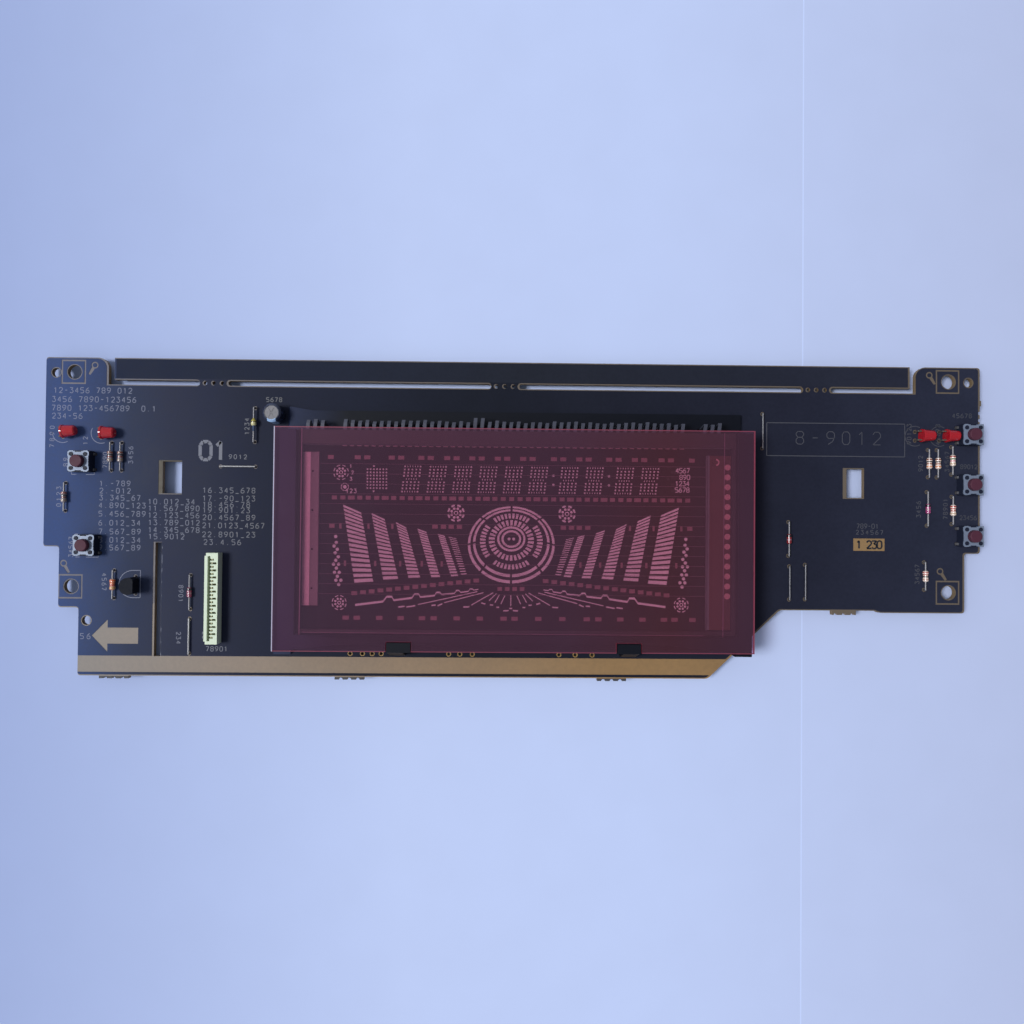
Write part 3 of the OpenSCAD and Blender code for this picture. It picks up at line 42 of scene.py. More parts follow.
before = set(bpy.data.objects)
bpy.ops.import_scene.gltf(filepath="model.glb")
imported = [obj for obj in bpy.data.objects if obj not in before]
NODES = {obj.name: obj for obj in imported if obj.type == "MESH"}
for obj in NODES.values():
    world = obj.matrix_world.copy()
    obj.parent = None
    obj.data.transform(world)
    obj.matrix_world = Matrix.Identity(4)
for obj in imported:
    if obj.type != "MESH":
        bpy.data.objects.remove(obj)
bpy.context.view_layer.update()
MM = 0.001
BODY = "board"

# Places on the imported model. The board's box ends at a break-off tab that stands out at the right.
SIDE_TAB = 0.4 * MM
BOARD_LO, BOARD_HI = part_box("circuit_board")
LEFT, RIGHT, TOP = BOARD_LO.x, BOARD_HI.x - SIDE_TAB, BOARD_HI.y
BOARD_SPAN = (LEFT, RIGHT - LEFT)
PRINT_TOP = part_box("board_print")[1].z
FILTER_LO, FILTER_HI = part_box("display_filter")
FILTER_SPAN = (FILTER_LO.x, FILTER_HI.x - FILTER_LO.x)
DISPLAY = (FILTER_LO + FILTER_HI) / 2
INNER_PRINT_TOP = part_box("anode_print")[1].z

# Print
MARK_THICK = 0.015 * MM
RING_STROKE = 0.22 * MM
BIG_STROKE = 0.95 * MM
LOT_STROKE = 0.45 * MM

# Display leads: the long row, the leads past each of its ends, and their section
LEAD_PITCH = 2.032 * MM
ROW_LEADS = 48
END_LEADS = 3
END_LEAD_GAP = 6.4 * MM
LEAD_THICK = 0.25 * MM
LEAD_WIDTHS = np.array([1, 1, 1, 1, 1, 1, 0.5, 0.5, 0.5]) * MM

# Inside the display
CHARACTER_PITCH = 7.17
INNER_STROKE = 0.22 * MM
INNER_THICK = 0.03 * MM
LEAD_END_THICK = 0.04 * MM
FILM_WIDTHS = np.array([0.24, 0.16, 0.12]) * MM
FILM_LIFT = 0.05 * MM

# Tracks of the solder side, and the pads of the driver chip and of the connector that they reach.
# Leads before FIRST_TOP_TRACK go to the chip's -X side, those before FIRST_RIGHT_TRACK to its +Y
# side and the others to its +X side.
TRACK_THICK = 0.02 * MM
TRACK_WIDTH = 0.32 * MM
SHORTEST_TRACK = 0.05 * MM
CHIP_PITCH = 0.65 * MM
CHIP_REACH = 0.9 * MM
FIRST_TOP_TRACK = 16
FIRST_RIGHT_TRACK = 34
CONTACTS = 23
CONTACT_PITCH = 1 * MM

# Stage: turns and the lamp's width as an angle are in degrees; FAR is past every edge of the board
FAR = 1.0
CAMERA_TURN = (0.864, -0.924, 0.496)
CAMERA_AT = (-5.105 * MM, -0.867 * MM, 228.475 * MM + PRINT_TOP)
SENSOR = 36
LAMP_TOWARD = (-0.66, 0.0, 1.0)
LAMP_COLOUR = (0.96, 0.98, 1.0)
LAMP_ANGLE = 18
FLOOR_HALF = 1.6
FLOOR_SPAN = (-0.16, 0.32)
SHEET_EDGE = (84.304 * MM, 84.696 * MM)


def from_left(x, down):
    """Board place, in metres: x millimetres from the left end and down from the top edge."""
    return (LEFT + x * MM, TOP - down * MM)


def from_right(x, down):
    """Board place, in metres: x millimetres from the right end and down from the top edge."""
    return (RIGHT - x * MM, TOP - down * MM)


def on_display(x, y):
    """Board place, in metres: millimetres from the middle of the display."""
    return (DISPLAY.x + x * MM, DISPLAY.y + y * MM)


def paint(red, green, blue):
    """Linear colour of a display colour given as 0 to 255."""
    def one(c):
        c /= 255
        return c / 12.92 if c <= 0.04045 else ((c + 0.055) / 1.055) ** 2.4
    return (one(red), one(green), one(blue), 1.0)


def linear(colour):
    """A colour of four numbers in linear light, or the linear colour of red, green and blue from 0
    to 255. The functions below take a colour either way."""
    return colour if len(colour) == 4 else paint(*colour)


# Meshes from arrays

def mesh_piece(name, points, faces, mat, slot, smooth=False, body=BODY):
    """A piece from an array of points in metres and an array or list of faces."""
    mesh = bpy.data.meshes.new(name)
    mesh.from_pydata(np.asarray(points, float).tolist(), [], np.asarray(faces).tolist())
    mesh.polygons.foreach_set("use_smooth", np.full(len(mesh.polygons), smooth))
    mesh.update()
    piece = bpy.data.objects.new(name, mesh)
    bpy.context.scene.collection.objects.link(piece)
    mesh.materials.append(mat)
    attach(piece, body)
    return piece


def strip_arrays(starts, ends, width, z, thick):
    """Flat bars along straight lines: each is a box from start to end, width across the line,
    with its lower face at z and its upper face at z + thick."""
    a = np.asarray(starts, float)
    b = np.asarray(ends, float)
    along = (b - a) / np.maximum(np.linalg.norm(b - a, axis=1), 1e-9)[:, None]
    half = (np.asarray(width, float) / 2).reshape(-1, 1)
    across = np.stack([-along[:, 1], along[:, 0]], 1) * half
    ring = np.stack([a - across, b - across, b + across, a + across], 1)
    low = np.concatenate([ring, np.full(ring.shape[:2] + (1,), z)], 2)
    high = low + [0, 0, thick]
    points = np.concatenate([low, high], 1).reshape(-1, 3)
    one = np.array([[0, 3, 2, 1], [4, 5, 6, 7], [0, 1, 5, 4], [1, 2, 6, 5], [2, 3, 7, 6],
                    [3, 0, 4, 7]])
    faces = (one[None] + 8 * np.arange(len(a))[:, None, None]).reshape(-1, 4)
    return points, faces


def turned_arrays(profile, count, centre, axis="X"):
    """A surface of revolution: point (r, h) of the profile goes to h along the axis and to
    (r cos a, r sin a) across it, for count angles a. The profile starts and ends at r = 0."""
    prof = np.asarray(profile, float)
    a = np.arange(count) * 2 * math.pi / count
    r, h = prof[:, 0][:, None], prof[:, 1][:, None]
    points = np.stack([np.broadcast_to(h, (len(prof), count)), r * np.cos(a), r * np.sin(a)], 2)
    if axis == "Y":
        points = points[..., [2, 0, 1]]
    points = points.reshape(-1, 3) + np.asarray(centre)
    i, j = np.meshgrid(np.arange(len(prof) - 1), np.arange(count), indexing="ij")
    k = (j + 1) % count
    faces = np.stack([i * count + j, i * count + k, (i + 1) * count + k, (i + 1) * count + j], 2)
    return points, faces.reshape(-1, 4)


def bent_arrays(middles, widths, thick):
    """Flat wires along bent paths. Wire m goes through its middle points (x, y, z); at each point
    its section is a rectangle, widths wide along X and thick square to the path in the YZ plane,
    whose normal is (-dz, dy) for the path's direction (dy, dz)."""
    middles = np.asarray(middles, float)
    step = np.gradient(middles[..., 1:], axis=1)
    step /= np.linalg.norm(step, axis=2)[..., None]
    off = np.stack([np.zeros(step.shape[:2]), -step[..., 1], step[..., 0]], 2) * thick / 2
    side = np.zeros_like(middles)
    side[..., 0] = np.asarray(widths, float)[None] / 2
    corners = np.stack([middles - side - off, middles + side - off, middles + side + off,
                        middles - side + off], 2)
    wires, count = middles.shape[:2]
    i, c = np.meshgrid(np.arange(count - 1), np.arange(4), indexing="ij")
    d = (c + 1) % 4
    one = np.stack([4 * i + c, 4 * i + 4 + c, 4 * i + 4 + d, 4 * i + d], 2).reshape(-1, 4)
    last = 4 * (count - 1)
    one = np.concatenate([one, [[0, 1, 2, 3], [last + 3, last + 2, last + 1, last]]])
    faces = one[None] + 4 * count * np.arange(wires)[:, None, None]
    return corners.reshape(-1, 3), faces.reshape(-1, 4)


def joined(parts):
    """One pair of arrays from many pairs of points and faces."""
    points, faces, start = [], [], 0
    for p, f in parts:
        points.append(p)
        faces.append(f + start)
        start += len(p)
    return np.concatenate(points), np.concatenate(faces)


def bars(name, lines, width, low, thick, mat, slot):
    """A piece of flat bars along lines, given as starts and ends, with their lower faces at low."""
    return mesh_piece(name, *strip_arrays(*lines, width, low, thick), mat, slot)


# Numbers as strokes, in a cell that is 60 wide and 100 high

STROKES = {
    "0": [[(15, 0), (0, 20), (0, 80), (15, 100), (45, 100), (60, 80), (60, 20), (45, 0), (15, 0)]],
    "1": [[(12, 78), (34, 100), (34, 0)]],
    "2": [[(0, 80), (15, 100), (45, 100), (60, 80), (60, 60), (0, 0), (60, 0)]],
    "3": [[(0, 100), (60, 100), (25, 60), (45, 60), (60, 40), (60, 20), (45, 0), (15, 0), (0, 15)]],
    "4": [[(45, 0), (45, 100), (0, 30), (60, 30)]],
    "5": [[(60, 100), (0, 100), (0, 56), (45, 56), (60, 42), (60, 15), (45, 0), (0, 0)]],
    "6": [[(50, 100), (15, 78), (0, 45), (0, 15), (15, 0), (45, 0), (60, 15), (60, 40), (45, 55),
           (0, 50)]],
    "7": [[(0, 100), (60, 100), (20, 0)]],
    "8": [[(15, 54), (0, 72), (0, 86), (15, 100), (45, 100), (60, 86), (60, 72), (45, 54), (15, 54),
           (0, 36), (0, 15), (15, 0), (45, 0), (60, 15), (60, 36), (45, 54)]],
    "9": [[(10, 0), (45, 22), (60, 55), (60, 85), (45, 100), (15, 100), (0, 85), (0, 60), (15, 45),
           (60, 50)]],
    ".": [[(25, 0), (25, 10)]],
    "-": [[(10, 50), (50, 50)]],
    "_": [[(0, -10), (60, -10)]],
    " ": [],
}


def stroke_lines(text, place, height, length, turn=0.0):
    """Line ends of a number in strokes. The middle of the text is at place, its first and last
    cells reach over length, and it is turned by turn degrees; height and length are in metres."""
    cell = 0.6 * height
    step = (length - cell) / max(len(text) - 1, 1)
    first = -(len(text) - 1) * step / 2 - cell / 2
    pairs = [((k, a), (k, b)) for k, mark in enumerate(text) for path in STROKES[mark]
             for a, b in zip(path[:-1], path[1:])]
    cells = np.array([[end[0] for end in pair] for pair in pairs])
    spots = np.array([[end[1] for end in pair] for pair in pairs]) / 100 * height
    spots[..., 0] += first + cells * step
    spots[..., 1] -= height / 2
    c, s = math.cos(math.radians(turn)), math.sin(math.radians(turn))
    spots = spots @ np.array([[c, s], [-s, c]]) + np.asarray(place)
    return spots[:, 0], spots[:, 1]


def arc_lines(centre, radius, start, end, count):
    """Line ends along an arc round the centre, from start to end in degrees, counted from +X."""
    a = np.radians(np.linspace(start, end, count + 1))
    points = np.stack([np.cos(a), np.sin(a)], 1) * radius + np.asarray(centre)
    return points[:-1], points[1:]


def joined_lines(pairs):
    """One pair of line starts and line ends from many."""
    return np.concatenate([p[0] for p in pairs]), np.concatenate([p[1] for p in pairs])


# Printed marks

# Places of the printed numbers: what stands there (# for a digit), distance in millimetres from the
# left or right end and from the top edge, height, length and turn. The list's rows are numbered.
LIST_HEIGHT = 1.45
HEADS = [
    ("##-#### ### ###", 13.4, 9.5, 1.5, 22.2), ("#### ####-######", 13.8, 12.1, 1.5, 23.8),
    ("#### ###*######  #.#", 16.6, 14.6, 1.5, 29.5), ("###-##", 6.2, 16.9, 1.5, 8.5),
]
LIST = [
    ("-###", 20.1, 36.2, 8.7), ("-###", 20.2, 38.3, 8.7), ("###_##", 21.6, 40.3, 11.6),
    ("###_###", 22.3, 42.5, 13.2), ("###_###", 22.3, 44.9, 13.2), ("###_##", 21.6, 47.5, 11.8),
    ("###_##", 21.7, 50.0, 11.8), ("###_##", 21.7, 52.4, 11.8), ("###_##", 21.7, 54.6, 11.8),
    ("###_##", 36.3, 41.3, 13.2), ("###_###", 37.0, 43.2, 14.5), ("###_###", 37.0, 45.2, 14.5),
    ("###_###", 37.1, 47.3, 14.5), ("###_###", 37.1, 49.4, 14.5), ("####", 35.0, 51.3, 10.1),
    ("###_###", 52.7, 37.9, 14.9), ("-##_###", 52.7, 40.2, 14.9), ("###.##", 52.0, 42.0, 13.4),
    ("###.##", 52.0, 43.6, 13.4), ("####_##", 52.8, 45.7, 14.9), ("####_####", 54.1, 48.0, 17.6),
    ("####_##", 52.8, 50.6, 15.0), ("#.##", 51.0, 52.8, 10.5),
]
LABELS = [
    ("####", 2.0, 22.9, 1.2, 6.0, 90), ("##", 11.5, 24.0, 1.2, 2.2, 90),
    ("####", 24.5, 28.0, 1.2, 4.8, 90), ("####", 17.2, 29.5, 1.2, 4.4, 90),
    ("####", 57.6, 19.4, 1.2, 4.6, 90), ("####", 65.3, 11.6, 1.2, 4.4),
    ("####", 55.1, 28.2, 1.2, 5.0), ("#####", 7.9, 54.5, 1.2, 5.7, 90),
    ("##", 6.0, 30.2, 1.2, 2.3, 90), ("####", 4.2, 40.1, 1.2, 5.6, 90),
    ("####", 17.5, 64.4, 1.2, 4.8, -90), ("####", 39.4, 67.6, 1.2, 4.6, -90),
    ("###", 38.9, 80.3, 1.2, 3.3, -90), ("##", 12.4, 80.0, 1.5, 2.8),
    ("#####", 49.8, 83.4, 1.3, 6.0), ("##", 46.3, 79.5, 1.2, 1.9, 90),
]
RIGHT_NUMBERS = [
    ("#####", 5.3, 14.1, 1.2, 5.6), ("#####", 20.9, 19.6, 1.2, 5.8, 90),
    ("#####", 12.4, 19.7, 1.2, 5.9, 90), ("####", 17.5, 28.2, 1.2, 4.4, 90),
    ("#####", 9.7, 27.6, 1.2, 5.8, 90), ("#####", 3.3, 29.0, 1.2, 4.9),
    ("####", 18.1, 41.6, 1.2, 4.6, 90), ("#####", 10.2, 41.4, 1.2, 5.8, 90),
    ("#####", 3.5, 43.9, 1.2, 4.9), ("###-##", 33.1, 46.6, 1.3, 6.3),
    ("######", 32.5, 48.4, 1.2, 7.9), ("#-####", 41.7, 21.0, 3.7, 24.8),
    ("#####", 18.5, 60.5, 1.2, 5.5, 90),
]
# Numbers inside the display: what stands there, place from its middle, height and length
DISPLAY_NUMBERS = [
    ("1", -46.4, 20.5, 0.9, 0.55), ("2", -45.9, 18.7, 0.9, 0.55), ("3", -46.3, 16.9, 0.9, 0.55),
    ("123", -46.2, 13.5, 1.1, 2.9), ("4567", 47.6, 20.1, 1.3, 3.9), ("890", 48.2, 18.2, 1.3, 2.9),
    ("1234", 47.5, 16.4, 1.3, 3.9), ("5678", 47.5, 14.6, 1.3, 4.0),
]


def with_digits(text, start):
    """The text with each # turned into the next digit of a count, and the count after it."""
    out = ""
    for mark in text:
        if mark == "#":
            out += str(start % 10)
            start += 1
        else:
            out += mark.replace("*", "-")
    return out, start


def printed_numbers():
    """Strokes of all numbers on the board, each turned with its place."""
    listed = [("%d.%s" % (k, text), x, down, LIST_HEIGHT, length)
              for k, (text, x, down, length) in enumerate(LIST, 1)]
    pairs, count = [], 1
    for rows, place in ((HEADS + listed + LABELS, from_left), (RIGHT_NUMBERS, from_right)):
        for text, x, down, height, length, *turn in rows:
            text, count = with_digits(text, count)
            pairs.append(stroke_lines(text, place(x, down), height * MM, length * MM, *turn))
    return joined_lines(pairs)


def printed_lines():
    """All printed lines but the numbers: line starts, line ends and widths. Distances below are in
    millimetres."""
    starts, ends, widths = [], [], []

    def add(pair, width):
        starts.extend(pair[0])
        ends.extend(pair[1])
        widths.extend([width * MM] * len(pair[0]))

    def path(points, width):
        points = np.asarray(points, float)
        add((points[:-1], points[1:]), width)

    # Legend field at the right
    a, b = from_right(62.7, 16.7), from_right(22.2, 26.3)
    path([a, (b[0], a[1]), b, (a[0], b[1]), a], 0.22)
    # Outlines of the two left switches
    for x, down, along, up in (
            (7.7, 33.7, 1.4, 0), (11.8, 33.7, 2.4, 0), (12.2, 57.4, 3.5, 0), (9.2, 57.4, 1.2, 0),
            (7.7, 33.7, 0, 0.6), (14.2, 33.7, 0, 0.6), (15.7, 57.4, 0, 0.6), (9.05, 50.8, 0.85, 0)):
        path([from_left(x, down), from_left(x + along, down - up)], 0.18)
    # Round outlines at the lamps' leads
    for centre, first, last in ((from_left(5, 21.7), 178, 300), (from_left(16, 21.8), 150, 290),
                                (from_right(19.2, 20.2), 60, 300), (from_right(12, 20.2), 60, 300)):
        add(arc_lines(centre, 2.9 * MM, first, last, 16), 0.2)
    # Outline of the transistor, with its flat at the right
    x, y = from_left(27.8, 65)
    half = 3.9 * MM
    path([(x - 2.2 * MM, y + half), (x, y + half), (x, y - half), (x - 2.2 * MM, y - half)], 0.2)
    add(arc_lines((x - 2.2 * MM, y), half, 90, 270, 14), 0.2)
    # Rough edge of the long slot
    x, _ = from_left(33.9, 0)
    for down, length in ((54.2, 0.6), (56.6, 2.4), (60.4, 1.2), (64.1, 0.5), (68, 0.4), (77.5, 1.1),
                         (81.3, 0.5), (84.6, 0.8)):
        y = TOP - down * MM
        path([(x, y), (x, y - length * MM)], 0.14)
    return np.array(starts), np.array(ends), np.array(widths)


def spare_rings():
    """Bare rings round the unused holes below the display."""
    places = (-46.9, -43.4, -40.6, -38, -18.6, -15.4, -11.8, 13.2, 17.9, 22.8)
    return joined_lines([arc_lines(on_display(x, -33.1), 0.62 * MM, 0, 360, 12) for x in places])


# Inside the display

def display_numbers():
    """Strokes of the numbers inside the display."""
    return joined_lines([stroke_lines(text, on_display(x, y), height * MM, length * MM)
                         for text, x, y, height, length in DISPLAY_NUMBERS])


def character_lines():
    """Dots of the display's characters, as short level bars: starts, ends and heights. A big
    character has rows of five dots, and narrow ticks between the outer dots of its top, middle and
    bottom rows; it leans by 0.1 mm a row. The first one is a square of seven rows of seven dots."""
    pitch, dot, tick = 0.89, 0.43, 0.2
    ratio, lean, gap = 1.22, 0.1, 1.45
    rows, columns = np.meshgrid(np.arange(-4, 5), np.arange(-2, 3), indexing="ij")
    keep = (rows % 4 != 0) | ((rows != 0) & (np.abs(columns) == 2))
    rows, columns = rows[keep], columns[keep]
    tick_rows, places = np.meshgrid([-4, 0, 4], np.linspace(-1.3, 1.3, 5), indexing="ij")
    big = np.concatenate([
        np.stack([columns * ratio * pitch + lean * rows, rows * pitch, np.full(rows.shape, dot)], 1),
        np.stack([places * ratio * pitch + lean * tick_rows, tick_rows * pitch,
                  np.full(places.shape, tick)], 2).reshape(-1, 3)])
    k = np.arange(10)
    middles = -28.4 + k * CHARACTER_PITCH + gap * (k > 5) + gap * (k > 7)
    spots = big[None] + np.stack([middles, 0 * k, 0 * k], 1)[:, None]
    seven = np.arange(-3, 4) * pitch
    x, y = np.meshgrid(seven, seven)
    square = np.stack([x.ravel(), y.ravel()], 1)
    square = np.concatenate([square, [(-pitch, -4 * pitch), (-pitch, 4 * pitch)]]) + [-38.1, 0]
    square = np.concatenate([square, np.full((len(square), 1), dot)], 1)
    colons = np.array([(middles[j] + 4.3, side * 1.3, 0.6) for j in (5, 7) for side in (-1, 1)])
    spots = np.concatenate([spots.reshape(-1, 3), square, colons])
    lo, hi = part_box("character_dots")
    middle = np.array([lo.x + 41.06 * MM, hi.y - 3.85 * MM])
    at = spots[:, :2] * MM + middle
    half = np.stack([spots[:, 2] / 2 * MM, np.zeros(len(spots))], 1)
    return at - half, at + half, np.maximum(spots[:, 2], dot) * MM


def film_lines():
    """Two long edges of the clear film under the filter, and the lower edge of the glass."""
    ends = np.array([[on_display(*place) for place in line] for line in (
        ((-59.4, 30.6), (-59.5, -30.4)), ((58.6, 30.6), (58.3, -29.8)),
        ((-58.5, -25.9), (53, -26.2)))])
    return ends[:, 0], ends[:, 1]


# Leads, lamps and tracks

def lead_places(past=0):
    """Middles along X of the display's leads: the long row, and so many more past each end."""
    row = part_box("solder_joints_display")
    half = (ROW_LEADS - 1) / 2
    places = (np.arange(ROW_LEADS) - half) * LEAD_PITCH
    ends = half * LEAD_PITCH + END_LEAD_GAP + np.arange(past) * LEAD_PITCH
    return (row[0].x + row[1].x) / 2 + np.concatenate([-ends[::-1], places, ends])


def lead_paths(xs):
    """Middle lines of the display's leads: out of the glass, bowed outward by a little more or less
    than a millimetre, and down into the holes. Two leads near the middle are bent out further."""
    lo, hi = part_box("display_leads")
    k = np.arange(len(xs))
    near = np.abs(xs + 11.3 * MM) < 1.6 * MM
    out = np.where(near, 2.1, 1.15 + 0.2 * np.sin(k * 2.4) + 0.15 * np.sin(k * 0.6)) * MM
    rise = np.where(near, 0.6, 0.3) * MM
    aside = 0.34 * MM
    top = hi.z - LEAD_THICK / 2
    hole = hi.y - LEAD_THICK / 2
    # Each point of a path: Y and its share of the bow, Z and its share of the rise, and its share
    # of the bend to the side
    shape = [(lo.y, 0, top, 0, 0), (hole - 1.5 * MM, 0, top, 0, 0),
             (hole - 0.3 * MM, 0.6, top, 1, 0.6), (hole, 1, top - 0.15 * MM, 1, 1),
             (hole, 0.9, top - 0.9 * MM, 0.5, 1),
             (hole, 0.15, 5.0 * MM, 0, 0.2), (hole, 0, 4.4 * MM, 0, 0), (hole, 0, 3.6 * MM, 0, 0),
             (hole, 0, lo.z, 0, 0)]
    return np.stack([np.stack([xs + side * aside, y + bow * out, z + lift * rise], 1)
                     for y, bow, z, lift, side in shape], 1)


def lead_end_lines():
    """Short bars across the inner ends of the long row's leads."""
    xs = lead_places()
    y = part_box("display_leads")[0].y - 0.15 * MM
    starts = np.stack([xs - 0.62 * MM, np.full(len(xs), y)], 1)
    return starts, starts + [1.24 * MM, 0]


LAMPS = ["lamp_%d" % k for k in range(1, 5)]


def lamp_insides():
    """The cup and the two posts inside each lamp: a cup is a cone (r, h) turned round the lamp's
    axis, and a post is a bar along the axis."""
    cup = np.array([(0, 1.2), (0.3, 1.2), (0.6, 1.7), (0.52, 1.7), (0.25, 1.35), (0, 1.35)]) * MM
    parts = []
    for lamp in LAMPS:
        lo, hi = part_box(lamp)
        y, z = (lo.y + hi.y) / 2, (lo.z + hi.z) / 2
        parts.append(turned_arrays(cup, 16, (lo.x, y + 0.3 * MM, z)))
        for aside, reach, wide in ((0.3, 1.25, 0.5), (-0.7, 1.6, 0.4)):
            post = y + aside * MM
            parts.append(strip_arrays([(lo.x + 0.2 * MM, post)], [(lo.x + reach * MM, post)],
                                      wide * MM, z - 0.2 * MM, 0.4 * MM))
    return joined(parts)


def track_lines():
    """Tracks as straight pieces. Each display lead and connector contact has a bent track to the
    driver chip: down or across from its pad, then square to the chip's side. The bends are nested,
    so that no two tracks cross."""
    lo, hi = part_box("driver_chip")
    middle_x, middle_y = (lo.x + hi.x) / 2, (lo.y + hi.y) / 2
    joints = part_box("solder_joints_display")
    row_y = (joints[0].y + joints[1].y) / 2
    middle_top = (FIRST_TOP_TRACK + FIRST_RIGHT_TRACK - 1) / 2
    paths = []
    for k, x in enumerate(lead_places()):
        pad = (x, row_y)
        if k < FIRST_TOP_TRACK:
            y = middle_y - 6.2 * MM + k * 0.8 * MM
            paths.append([pad, (x, y), (lo.x - CHIP_REACH, y)])
        elif k < FIRST_RIGHT_TRACK:
            pin = middle_x + (k - middle_top) * CHIP_PITCH
            nest = min(k - FIRST_TOP_TRACK + 1, FIRST_RIGHT_TRACK - k)
            level = hi.y + CHIP_REACH + (2.2 + 0.75 * nest) * MM
            paths.append([pad, (x, level), (pin, level), (pin, hi.y + CHIP_REACH)])
        else:
            y = middle_y - 6.2 * MM + (ROW_LEADS - 1 - k) * 0.9 * MM
            paths.append([pad, (x, y), (hi.x + CHIP_REACH, y)])
    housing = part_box("connector_housing")
    for k in range(CONTACTS):
        y = housing[0].y + 1.9 * MM + k * CONTACT_PITCH
        x = middle_x - (k - (CONTACTS - 1) / 2) * 0.6 * MM
        paths.append([(housing[1].x - 1.2 * MM, y), (x, y), (x, lo.y - CHIP_REACH)])
    pieces = [(a, b) for path in paths for a, b in zip(path[:-1], path[1:])
              if math.dist(a, b) > SHORTEST_TRACK]
    return [a for a, b in pieces], [b for a, b in pieces]


# Node groups

def new_group(name, inputs, outputs):
    """An empty shader group with its sockets; returns the group, its input and its output node."""
    group = bpy.data.node_groups.new(name, "ShaderNodeTree")
    for label, value in inputs.items():
        kind = "NodeSocketColor" if isinstance(value, tuple) else "NodeSocketFloat"
        socket = group.interface.new_socket(name=label, in_out="INPUT", socket_type=kind)
        socket.default_value = value
    for label in outputs:
        kind = "NodeSocketColor" if label == "Colour" else "NodeSocketFloat"
        group.interface.new_socket(name=label, in_out="OUTPUT", socket_type=kind)
    return group, group.nodes.new("NodeGroupInput"), group.nodes.new("NodeGroupOutput")


def link(value, socket):
    """Feeds a socket from another one, or sets it to a number or a colour."""
    if isinstance(value, bpy.types.NodeSocket):
        socket.id_data.links.new(value, socket)
    else:
        socket.default_value = value


def math_node(operation, *values):
    """A Math node of sockets or numbers, in the tree of the first socket among them."""
    tree = next(value.id_data for value in values if isinstance(value, bpy.types.NodeSocket))
    node = tree.nodes.new("ShaderNodeMath")
    node.operation = operation
    for value, socket in zip(values, node.inputs):
        link(value, socket)
    return node.outputs[0]


def largest(first, *others):
    """The largest of several sockets."""
    for other in others:
        first = math_node("MAXIMUM", first, other)
    return first


def mix_colour(factor, a, b):
    """A colour mix by a factor socket; a and b are sockets or colours."""
    node = factor.id_data.nodes.new("ShaderNodeMix")
    node.data_type = "RGBA"
    link(factor, node.inputs["Factor"])
    for socket, value in ((node.inputs[6], a), (node.inputs[7], b)):
        link(value if isinstance(value, bpy.types.NodeSocket) else linear(value), socket)
    return node.outputs[2]


def object_axes(tree, output="Object"):
    """The X, Y and Z sockets of a texture coordinate."""
    where = tree.nodes.new("ShaderNodeTexCoord")
    split = tree.nodes.new("ShaderNodeSeparateXYZ")
    link(where.outputs[output], split.inputs[0])
    return split.outputs


def mottle_group():
    """Uneven finish: two sizes of noise on the object's own coordinates, as a tint and a height."""
    if "Mottle" in bpy.data.node_groups:
        return bpy.data.node_groups["Mottle"]
    tree, gin, gout = new_group(
        "Mottle", {"Colour": (0.5, 0.5, 0.5, 1), "Spread": 0.2, "Scale": 400.0, "Roughness": 0.5},
        ("Colour", "Roughness", "Height"))
    given = gin.outputs
    where = tree.nodes.new("ShaderNodeTexCoord")
    fine, broad = tree.nodes.new("ShaderNodeTexNoise"), tree.nodes.new("ShaderNodeTexNoise")
    wide = math_node("MULTIPLY", given["Scale"], 0.08)
    for noise, scale in ((fine, given["Scale"]), (broad, wide)):
        link(where.outputs["Object"], noise.inputs["Vector"])
        link(scale, noise.inputs["Scale"])
    both = math_node("ADD", fine.outputs["Fac"], broad.outputs["Fac"])
    centred = math_node("SUBTRACT", both, 1.0)
    tint = tree.nodes.new("ShaderNodeVectorMath")
    tint.operation = "SCALE"
    link(given["Colour"], tint.inputs[0])
    link(math_node("MULTIPLY_ADD", centred, given["Spread"], 1.0), tint.inputs["Scale"])
    link(tint.outputs[0], gout.inputs["Colour"])
    rough = math_node("MULTIPLY_ADD", centred, 0.18, given["Roughness"])
    link(rough, gout.inputs["Roughness"])
    link(fine.outputs["Fac"], gout.inputs["Height"])
    return tree


def edge_group():
    """Masks of a flat cut plate: Edge is 1 on faces that stand upright, and Upper is 1 on the level
    face above the middle height."""
    if "Cut edge" in bpy.data.node_groups:
        return bpy.data.node_groups["Cut edge"]
    tree, gin, gout = new_group("Cut edge", {"Middle": 0.0}, ("Edge", "Upper"))
    upright = math_node("ABSOLUTE", object_axes(tree, "Normal")["Z"])
    edge = math_node("LESS_THAN", upright, 0.5)
    link(edge, gout.inputs["Edge"])
    high = math_node("GREATER_THAN", object_axes(tree)["Z"], gin.outputs["Middle"])
    level = math_node("SUBTRACT", 1.0, edge)
    link(math_node("MULTIPLY", high, level), gout.inputs["Upper"])
    return tree


def field_group():
    """A mask that is 1 between two corners in the object's X and Y and 0 outside."""
    if "Field" in bpy.data.node_groups:
        return bpy.data.node_groups["Field"]
    names = ("Low X", "High X", "Low Y", "High Y")
    tree, gin, gout = new_group("Field", dict.fromkeys(names, 0.0), ("Inside",))
    spot = object_axes(tree)
    both = 1.0
    for axis in "XY":
        over = math_node("GREATER_THAN", spot[axis], gin.outputs["Low " + axis])
        under = math_node("LESS_THAN", spot[axis], gin.outputs["High " + axis])
        both = math_node("MULTIPLY", math_node("MULTIPLY", over, under), both)
    link(both, gout.inputs["Inside"])
    return tree


def placed(tree, group, **values):
    """A group node in a material, with its input values."""
    node = tree.nodes.new("ShaderNodeGroup")
    node.node_tree = group
    for label, value in values.items():
        link(value, node.inputs[label])
    return node


def inside(tree, a, b):
    """A mask socket for the rectangle between two corners, in metres."""
    node = placed(tree, field_group(), **{"Low X": min(a[0], b[0]), "High X": max(a[0], b[0]),
                                          "Low Y": min(a[1], b[1]), "High Y": max(a[1], b[1])})
    return node.outputs["Inside"]


# Materials

